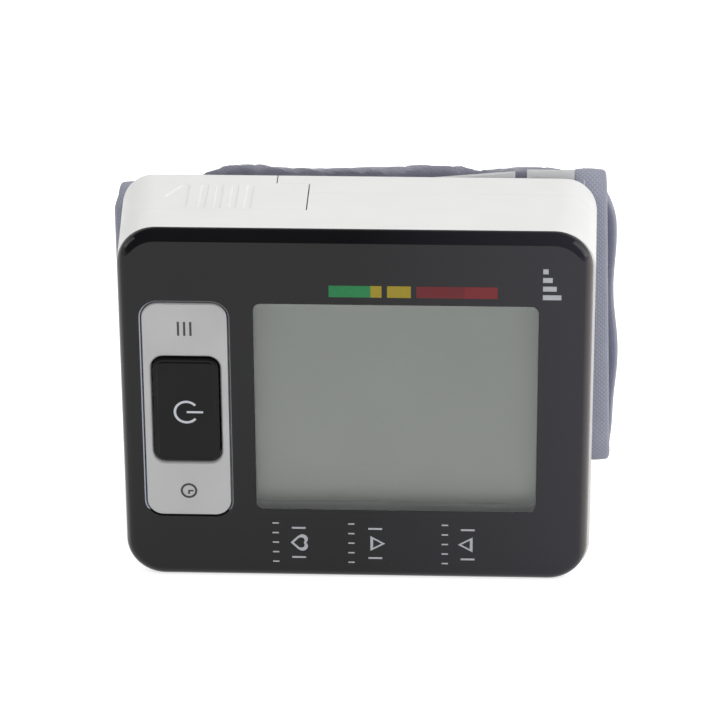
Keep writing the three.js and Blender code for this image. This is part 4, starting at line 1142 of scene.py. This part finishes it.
def cone_spring(name, node, wide_low):
    """A conical spring as a round wire along a rising spiral, made a mesh."""
    low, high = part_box(node)
    wire = 0.5 * MM
    x, y = (low.x + high.x) / 2, (low.y + high.y) / 2
    turns, per_turn = 4, 24
    curve = bpy.data.curves.new(name, "CURVE")
    curve.dimensions = "3D"
    curve.bevel_depth = wire / 2
    curve.bevel_resolution = 3
    curve.use_fill_caps = True
    line = curve.splines.new("POLY")
    line.points.add(turns * per_turn)
    for i, point in enumerate(line.points):
        share = i / (turns * per_turn)
        wide = 1 - share if wide_low else share
        radius = 1.8 * MM + 1.6 * MM * wide
        angle = share * turns * 2 * math.pi
        height = low.z + wire / 2 + (high.z - low.z - wire) * share
        point.co = (x + radius * math.cos(angle), y + radius * math.sin(angle), height, 1)
    only(linked(name, curve))
    bpy.ops.object.convert(target="MESH")
    return settle(bpy.context.object, steel, "case", "contact_steel", node)


cone_spring("cell_spring_left", "series_spring", True)
cone_spring("cell_spring_right", "negative_spring", False)

# %% [markdown]
# ## The plastic sheet behind the case
# The cuff hangs on a frosted plastic sheet that hooks into the case's back. It shows above the case
# as a rising wedge, a notch and a tab. Its outline is a few straight runs, which a copy of the frame's
# own sheet already has, so the copy is merged, its corners are rounded and its rims broken.

# %% Frosted sheet


def copy_of(node, name):
    """A merged copy of a frame node, with flat areas as single faces."""
    piece = linked(name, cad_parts[node].data.copy())
    piece.data.name = name
    piece.data.materials.clear()
    edit_all(piece)
    bpy.ops.mesh.remove_doubles(threshold=0.001 * MM)
    bpy.ops.mesh.dissolve_limited(angle_limit=math.radians(1))
    leave_edit()
    return piece


sheet = copy_of("cuff_stiffener", "hook_sheet")
sheet_low, sheet_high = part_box("cuff_stiffener")
sheet_front = case_back + 0.2 * MM
sheet_back = sheet_high.y


def on_sheet_corner(edge):
    """The sheet's own corners, but for the top right one, and not its hooks."""
    outline = along_y(edge) and min(vert.co.y for vert in edge.verts) > sheet_front - TINY
    x, z = edge.verts[0].co.x, edge.verts[0].co.z
    at_left, at_right = (abs(x - side) < TINY * 10 for side in (sheet_low.x, sheet_high.x))
    return outline and (at_left or at_right and z < (z0 + z1) / 2)


notch_x0, notch_x1, notch_z = 28.2 * MM, 28.8 * MM, 63.3 * MM
notch = block("notch", (notch_x0, sheet_front - overrun, notch_z),
              (notch_x1, sheet_back + overrun, z1 + overrun))
cut(sheet, notch)
bevel(sheet, on_sheet_corner, 1.2 * MM, 6)
soften(sheet, 0.06 * MM)
settle(sheet, frosted_sheet, "case", "sheet_translucent", "cuff_stiffener")

# %% [markdown]
# ## The cuff
# The cuff is one padded band, closed to a flattened ring behind the case: an outer cloth, an air
# bladder, a lining, and a binding tape sewn over each edge. A plane subdivided into a grid is bent
# round the ring by a formula, which also gives each place its map in metres. The outer cloth is
# then simulated: its edges stay sewn, the air inside pushes it out, and a little spare cloth makes
# the creases of a real cuff.

# %% The ring's path
tape_low, tape_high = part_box("cuff_edge_left")
tape_right_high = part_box("cuff_edge_right")[1]
tape_proud = 0.2 * MM
tape_width = 5.5 * MM
tape_fold = 0.7 * MM
cuff_wall = 2.7 * MM
cuff_front, cuff_back = tape_low.y + tape_proud, tape_high.y - tape_proud
ring_top, ring_bottom = tape_right_high.z - tape_proud, tape_low.z + tape_proud + 0.3 * MM
ring_half = (cuff_back - cuff_front) / 2
ring_y = cuff_front + ring_half
cuff_x0, cuff_x1 = x0 - 3 * MM, x1 + 2.7 * MM


def arc(centre_y, centre_z, radius, start, end):
    """Places and outward directions along an arc, between two angles from +Y."""
    steps = max(2, round(abs(end - start) * radius / path_step))
    angles = [start + (end - start) * i / steps for i in range(steps + 1)]
    return [(centre_y + radius * math.cos(a), centre_z + radius * math.sin(a), math.cos(a), math.sin(a))
            for a in angles]


path_step = 0.25 * MM
top_round, turn_over = 3.7 * MM, math.radians(63)
top_y, top_z = cuff_front + top_round, ring_top + 0.6 * MM - top_round
slope_round = (cuff_back - top_y - top_round * math.cos(turn_over)) / (1 - math.cos(turn_over))
slope_z = top_z - (slope_round - top_round) * math.sin(turn_over)
ring_path = [
    *arc(cuff_back - slope_round, slope_z, slope_round, 0, turn_over),
    *arc(top_y, top_z, top_round, turn_over, math.pi)[1:],
    *arc(ring_y, ring_bottom + ring_half, ring_half, math.pi, 2 * math.pi)]


def runs_of(path):
    """How far along a closed path each of its places lies."""
    runs = [0.0]
    for (y, z, _, _), (next_y, next_z, _, _) in zip(path, path[1:] + path[:1]):
        runs.append(runs[-1] + math.hypot(next_y - y, next_z - z))
    return runs


def along(path, runs, run):
    """The place and outward direction at a run along a closed path."""
    run = run % runs[-1]
    first = bisect.bisect_right(runs, run) - 1
    share = (run - runs[first]) / (runs[first + 1] - runs[first])
    start, end = path[first], path[(first + 1) % len(path)]
    return tuple(a + (b - a) * share for a, b in zip(start, end))


path_runs = runs_of(ring_path)
ring_length = path_runs[-1]
back_middle = (slope_z - ring_bottom - ring_half) / 2


def ring_place(run):
    """A place on the ring, from a run that starts in the middle of its back and climbs."""
    return along(ring_path, path_runs, run - back_middle)


lean_out, bulge_out = 1.7 * MM, 1.42 * MM
bulge_rise, bulge_fall, bulge_top = 16 * MM, 6 * MM, ring_top - 5 * MM
wave_height, wave_length, wave_crest = 0.34 * MM, 23 * MM, z0 + 27.5 * MM


def right_edge(y, z):
    """The cuff's right edge: it leans out towards the bottom, and bulges in waves at the back."""
    lean = lean_out * (ring_top - z) / (ring_top - ring_bottom)
    back = clamp((y - cuff_front) / (cuff_back - cuff_front))
    share = min(clamp((z - ring_bottom) / bulge_rise), clamp((bulge_top - z) / bulge_fall))
    share = share * (2 - share)
    wave = wave_height * math.cos(2 * math.pi * (z - wave_crest) / wave_length)
    return cuff_x1 + lean + (bulge_out + wave) * back * share


drawn_in, drawn_reach = 0.7 * MM, 4 * MM


def left_edge(y, z):
    """The cuff's left edge: straight, and drawn in towards the top fold."""
    return cuff_x0 + drawn_in * clamp((z - ring_top) / drawn_reach + 1) ** 2


slump, slump_start, slump_reach = 3.3 * MM, -19 * MM, 20.5 * MM


def slumped(x, y, z):
    """The upper half slumps at the left end, in one soft step."""
    middle = (ring_bottom + ring_top) / 2
    height = max(0, (z - middle) / (ring_top - middle))
    return Vector((x, y, z - slump * height * smooth((slump_start - x) / slump_reach)))


print("Ring:", round(ring_length / MM, 1), "mm long")

# %% Bands round the ring


def grid(name, across, steps):
    """A plane of square cells, with a map, to be bent."""
    bpy.ops.object.select_all(action="DESELECT")
    bpy.ops.mesh.primitive_grid_add(x_subdivisions=across, y_subdivisions=steps, size=1)
    piece = bpy.context.object
    piece.name = name
    piece.data.name = name
    return piece


def bend(piece, place):
    """Moves each vertex of a grid to where its two shares say, and maps it in metres."""
    shares = [(vert.co.x + 0.5, vert.co.y + 0.5) for vert in piece.data.vertices]
    spots = [place(*share) for share in shares]
    for vert, (spot, _) in zip(piece.data.vertices, spots):
        vert.co = spot
    uv = piece.data.uv_layers[0].data
    for loop in piece.data.loops:
        uv[loop.index].uv = spots[loop.vertex_index][1]
    edit_all(piece)
    bpy.ops.mesh.remove_doubles(threshold=0.002 * MM)
    bpy.ops.mesh.normals_make_consistent(inside=False)
    leave_edit()
    return piece


def band(name, depth, left, right, across, steps, crown=0.0, free=0.0):
    """A band at a depth below the cuff's skin, between two edges. It may leave a share of the
    ring free on each side of the middle of the back."""
    def place(side, share):
        run = (free + (1 - 2 * free) * share) * ring_length
        y, z, out_y, out_z = ring_place(run)
        start, end = left(y, z), right(y, z)
        x = start + (end - start) * side
        rise = crown * (1 - (2 * side - 1) ** 2) * max(0, out_y) - depth
        spot = slumped(x, y + out_y * rise, z + out_z * rise)
        return spot, (x, run)
    return bend(grid(name, across, steps), place)


def face_out(piece):
    """Turns a band's faces away from the middle of the ring."""
    middle = Vector((0, ring_y, (ring_top + ring_bottom) / 2))
    outward = sum((face.center - middle).dot(face.normal) * face.area for face in piece.data.polygons)
    if outward < 0:
        edit_all(piece)
        bpy.ops.mesh.flip_normals()
        leave_edit()
    return piece


tape_under = 1.2 * MM


def cloth_left(y, z):
    return left_edge(y, z) + tape_width - tape_under


def cloth_right(y, z):
    return right_edge(y, z) - tape_width + tape_under


outer_cloth = face_out(band("outer_cloth", 0.05 * MM, cloth_left, cloth_right, 76, 200, crown=0.25 * MM))
print("Outer cloth:", len(outer_cloth.data.vertices), "vertices")

# %% [markdown]
# The simulation holds the cloth where the tapes sew it down, and along the front where it lies on
# the plastic sheet. Spare cloth and a light pressure make it swell and crease. How far a point may
# move is capped, so that the cloth stays off the sheet and under the closing flap.

# %% Simulate the outer cloth
out_cap, in_cap, front_cap, along_cap = 0.95 * MM, 0.7 * MM, 0.12 * MM, 1 * MM
sewn_reach = 1.6 * MM


def hold_group(piece):
    """Weights that hold the sewn edges and the stretch on the sheet."""
    group = piece.vertex_groups.new(name="held")
    for vert in piece.data.vertices:
        y, z = vert.co.y, vert.co.z
        side = min(vert.co.x - cloth_left(y, z), cloth_right(y, z) - vert.co.x)
        sewn = max(0.0, 1 - side / sewn_reach)
        front = 1.0 if y < cuff_front + 1 * MM else 0.0
        group.add([vert.index], max(sewn, front), "REPLACE")
    return group


def simulate(piece, frames=24):
    """Swells and creases a piece as cloth, within caps."""
    start = [vert.co.copy() for vert in piece.data.vertices]
    normals = [vert.normal.copy() for vert in piece.data.vertices]
    group = hold_group(piece)
    only(piece)
    bpy.ops.object.modifier_add(type="CLOTH")
    modifier = piece.modifiers[-1]
    settings = {
        "quality": 6, "mass": 0.002, "tension_stiffness": 12, "compression_stiffness": 12,
        "shear_stiffness": 4, "bending_stiffness": 0.02, "vertex_group_mass": group.name,
        "use_pressure": True, "uniform_pressure_force": 0.25, "shrink_min": -0.035, "shrink_max": -0.035}
    for label, value in settings.items():
        setattr(modifier.settings, label, value)
    modifier.settings.effector_weights.gravity = 0
    modifier.point_cache.frame_start = 1
    modifier.point_cache.frame_end = frames
    for number in range(1, frames + 1):
        bpy.context.scene.frame_set(number)
    bpy.ops.object.modifier_apply(modifier=modifier.name)
    bpy.context.scene.frame_set(1)
    moved = 0.0
    for vert, place, normal in zip(piece.data.vertices, start, normals):
        shift = vert.co - place
        out = shift.dot(normal)
        sideways = shift - normal * out
        if sideways.length > along_cap:
            sideways = sideways.normalized() * along_cap
        cap = front_cap if place.y < cuff_front + 2 * MM else out_cap
        out = min(cap, max(-in_cap, out))
        vert.co = place + normal * out + sideways
        moved = max(moved, abs(out))
    piece.vertex_groups.clear()
    print(piece.name, "moved by up to", round(moved / MM, 2), "mm")


simulate(outer_cloth)
# Painted shade: the outer cloth gets darker towards the front of the ring, next to the case.
toned(cuff_cloth, "Object", "Y", cuff_back - 4.5 * MM, cuff_front + 2.3 * MM, (0.13, 0.13, 0.17))
with_modifier(outer_cloth, "SOLIDIFY", thickness=0.7 * MM, offset=-1, use_even_offset=True)
settle(outer_cloth, cuff_cloth, "case", "cuff_fabric", "cuff_outer")

# %% [markdown]
# ## Lining and binding tapes
# The lining faces the wrist. The air bladder lies between it and the outer cloth, narrower than
# both, and leaves the middle of the back free. Each tape is a narrow woven strip folded over the
# raw edge of all the layers, flat on both sides and round at the edge, so its cross section is a
# long U. The grid's first share runs along that U.

# %% Lining and bladder
lining_depth, lining_thick = 2.15 * MM, 0.5 * MM
lining = face_out(band("inner_lining", lining_depth, cloth_left, cloth_right, 40, 200))
with_modifier(lining, "SOLIDIFY", thickness=lining_thick, offset=-1, use_even_offset=True)
settle(lining, lining_cloth, "case", "cuff_lining", "cuff_lining")

bladder_depth, bladder_thick, bladder_inset = 1.5 * MM, 0.6 * MM, 11.5 * MM
bladder = face_out(band(
    "air_bladder", bladder_depth, lambda y, z: left_edge(y, z) + bladder_inset,
    lambda y, z: right_edge(y, z) - bladder_inset, 30, 150, free=0.12))
with_modifier(bladder, "SOLIDIFY", thickness=bladder_thick, offset=-1, use_even_offset=True)
settle(bladder, rubber, "case", "rubber_black", "cuff_bladder")

# %% Binding tapes
tape_thick = 0.45 * MM
tape_half = (cuff_wall + tape_proud) / 2


def folded(share, width, fold, half):
    """Across a tape folded to a U: how far in from the edge, how far out from the middle, and how
    far along the tape's own width."""
    leaf, bow = width - fold, math.pi * half
    across = share * (2 * leaf + bow)
    if across < leaf:
        return width - across, half, across
    if across < leaf + bow:
        angle = (across - leaf) / half
        return fold * (1 - math.sin(angle)), half * math.cos(angle), across
    return fold + across - leaf - bow, -half, across


def puckered(run, height):
    """How a stitched tape rises and falls along its run."""
    return height * math.sin(run / (0.8 * MM) + 0.7 * math.sin(run / (5 * MM)))


def tape(name, steps, place, length, thick, *nodes):
    """A folded tape, bent from a flat grid and given a thickness."""
    piece = bend(grid(name, *steps), place)
    with_modifier(piece, "SOLIDIFY", thickness=thick, offset=-1, use_even_offset=False)
    settle(piece, tape_cloth, "case", "cuff_tape", *nodes)


def ring_tape(name, node, edge, inward):
    """A tape along one edge of the ring. Its outer leaf puffs up a little."""
    leaf = tape_width - tape_fold

    def place(side, share):
        run = share * ring_length
        y, z, out_y, out_z = ring_place(run)
        inset, out, across = folded(side, tape_width, tape_fold, tape_half)
        depth = tape_half - tape_proud - out
        if across < leaf:
            depth -= 0.18 * MM * math.sin(math.pi * across / leaf)
        if depth < 0:
            depth += puckered(run, 0.06 * MM)
        x = edge(y, z) + inward * inset
        return slumped(x, y - out_y * depth, z - out_z * depth), (across, run)
    tape(name, (26, 320), place, ring_length, tape_thick, node)


# Painted shade: the tape turns dark navy from the inner side of its fold over the inner leaf, between the
# layers.
toned(tape_cloth, "UV", "X", 8.3 * MM, 10 * MM, (0.18, 0.19, 0.27))
ring_tape("binding_left", "cuff_edge_left", left_edge, 1)
ring_tape("binding_right", "cuff_edge_right", right_edge, -1)

# %% [markdown]
# ## Stitches
# A lock stitch shows as a row of short raised threads. One stitch is a small ball of a few dozen
# faces, stretched along its thread. A loop sets such balls along each tape, as one piece to a row.

# %% Stitches along the tapes
stitch_length, stitch_pitch, stitch_radius = 1.9 * MM, 2.5 * MM, 0.16 * MM


def stitch_row(name, length, place):
    """Short threads along a run, as one piece."""
    mesh = bmesh.new()
    for i in range(int(length / stitch_pitch)):
        start, end = place(i * stitch_pitch), place(i * stitch_pitch + stitch_length)
        way = end - start
        turn = way.to_track_quat("Z", "Y").to_matrix().to_4x4()
        size = Matrix.Diagonal((stitch_radius, stitch_radius, way.length / 2, 1))
        bmesh.ops.create_uvsphere(mesh, u_segments=6, v_segments=5, radius=1,
                                  matrix=Matrix.Translation((start + end) / 2) @ turn @ size)
    data = bpy.data.meshes.new(name)
    mesh.to_mesh(data)
    mesh.free()
    return settle(linked(name, data), thread_finish, "case", "cuff_tape")


def on_ring_tape(edge, inward):
    """Where the stitches lie on the outer leaf of a tape, near its inner rim."""
    def place(run):
        y, z, out_y, out_z = ring_place(run)
        x = edge(y, z) + inward * (tape_width - 1.5 * MM)
        lift = tape_proud + stitch_radius
        return slumped(x, y + out_y * lift, z + out_z * lift)
    return place


stitch_row("stitches_left", ring_length, on_ring_tape(left_edge, 1))
stitch_row("stitches_right", ring_length, on_ring_tape(right_edge, -1))

# %% [markdown]
# ## The closing flap
# The end of the band laps over the back and holds by hooks. It is a padded tongue with round
# corners, and the same tape is folded over its edge and sewn on. The tongue is a grid wrapped round
# to a closed pillow, which is thinnest under the tape and swells to its middle. The tape is a U
# shaped strip led along the outline, as on the ring.

# %% Hook patch and flap
patch_low, patch_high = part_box("hook_patch")
flap_low, flap_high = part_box("cuff_flap")
patch = rounded("hook_pad", patch_low, patch_high, 3 * MM)
soften(patch, 0.2 * MM)
settle(patch, hook_cloth, "case", "hook_fabric", "hook_patch")

flap_corner, hem_width, hem_thick = 6 * MM, 5.4 * MM, 0.3 * MM
flap_y, flap_half = (flap_low.y + flap_high.y) / 2, (flap_high.y - flap_low.y) / 2
left, right = flap_low.x + flap_corner, flap_high.x - flap_corner
bottom, top = flap_low.z + flap_corner, flap_high.z - flap_corner
flap_path = []
for quarter, (x, z) in enumerate([(right, top), (left, top), (left, bottom), (right, bottom)]):
    start = quarter * math.pi / 2
    flap_path += arc(x, z, flap_corner, start, start + math.pi / 2)
flap_runs = runs_of(flap_path)
flap_length = flap_runs[-1]


pillow_inset, edge_thick, edge_reach = 0.5 * MM, 0.28 * MM, 0.6 * MM
swell_thick, swell_start, swell_reach = 0.32 * MM, 3 * MM, 7 * MM
inner_share = 0.6


def pillow(side, share):
    """The flap's two faces, wrapped into one closed form. The first share passes the outer face,
    then the inner one."""
    inset = pillow_inset
    z = flap_low.z + inset + (flap_high.z - flap_low.z - 2 * inset) * share
    end = max(0.0, flap_corner - min(z - flap_low.z, flap_high.z - z))
    drawn = inset + flap_corner - math.sqrt(flap_corner ** 2 - end ** 2)
    across = 2 * min(side, 1 - side)
    x = flap_low.x + drawn + (flap_high.x - flap_low.x - 2 * drawn) * across
    edge = min(x - flap_low.x - drawn, flap_high.x - drawn - x, z - flap_low.z - inset,
               flap_high.z - inset - z)
    swell = smooth((edge - swell_start) / swell_reach)
    thick = edge_thick * clamp(edge / edge_reach) + swell_thick * swell
    way = 1 if side < 0.5 else -inner_share
    return Vector((x, flap_y + thick * way, z)), (x, z)


def hem(side, share):
    """The tape round the flap's outline."""
    run = share * flap_length
    x, z, out_x, out_z = along(flap_path, flap_runs, run)
    inset, out, across = folded(side, hem_width, flap_half, flap_half)
    drop = puckered(run, 0.05 * MM) if out > 0 else 0
    return Vector((x - out_x * inset, flap_y + out - drop, z - out_z * inset)), (across, run)


def on_hem(run):
    """Where the stitches lie on the flap's tape."""
    x, z, out_x, out_z = along(flap_path, flap_runs, run)
    inset = hem_width - 1.3 * MM
    return Vector((x - out_x * inset, flap_y + flap_half + 0.08 * MM, z - out_z * inset))


flap = bend(grid("closing_flap", 150, 70), pillow)
settle(flap, flap_cloth, "case", "cuff_fabric", "cuff_flap")
tape("binding_flap", (24, 400), hem, flap_length, hem_thick)
stitch_row("stitches_flap", flap_length, on_hem)

# %% [markdown]
# ## The inner works
# The pump, valve, board and sensor never show while the case is closed, so the frame's own shapes
# stay. They still get real finishes.

# %% Finishes of the inner works
inner_finishes = {
    board_green: ["main_board"],
    component_black: ["controller_chip", "buzzer", "tact_switch_power", "tact_switch_set",
                      "tact_switch_memory", "pump_housing", "valve_body"],
    rubber: ["lcd_connector", "pump_diaphragm"],
    steel: ["series_contact", "positive_contact", "negative_contact", "pump_motor", "valve_plunger"],
    brass: ["pump_crank"],
    silicone: ["pump_cap", "air_manifold", "hose_pump", "hose_sensor", "hose_valve", "hose_cuff", "cuff_port",
               "pressure_sensor"],
    display_grey: ["lcd_reflector"],
}
for material, names in inner_finishes.items():
    for name in names:
        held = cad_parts[name].data.materials
        held.clear()
        held.append(material)
print("Inner pieces finished:", sum(len(names) for names in inner_finishes.values()))

# %% Last step: nothing selected
bpy.ops.object.select_all(action="DESELECT")
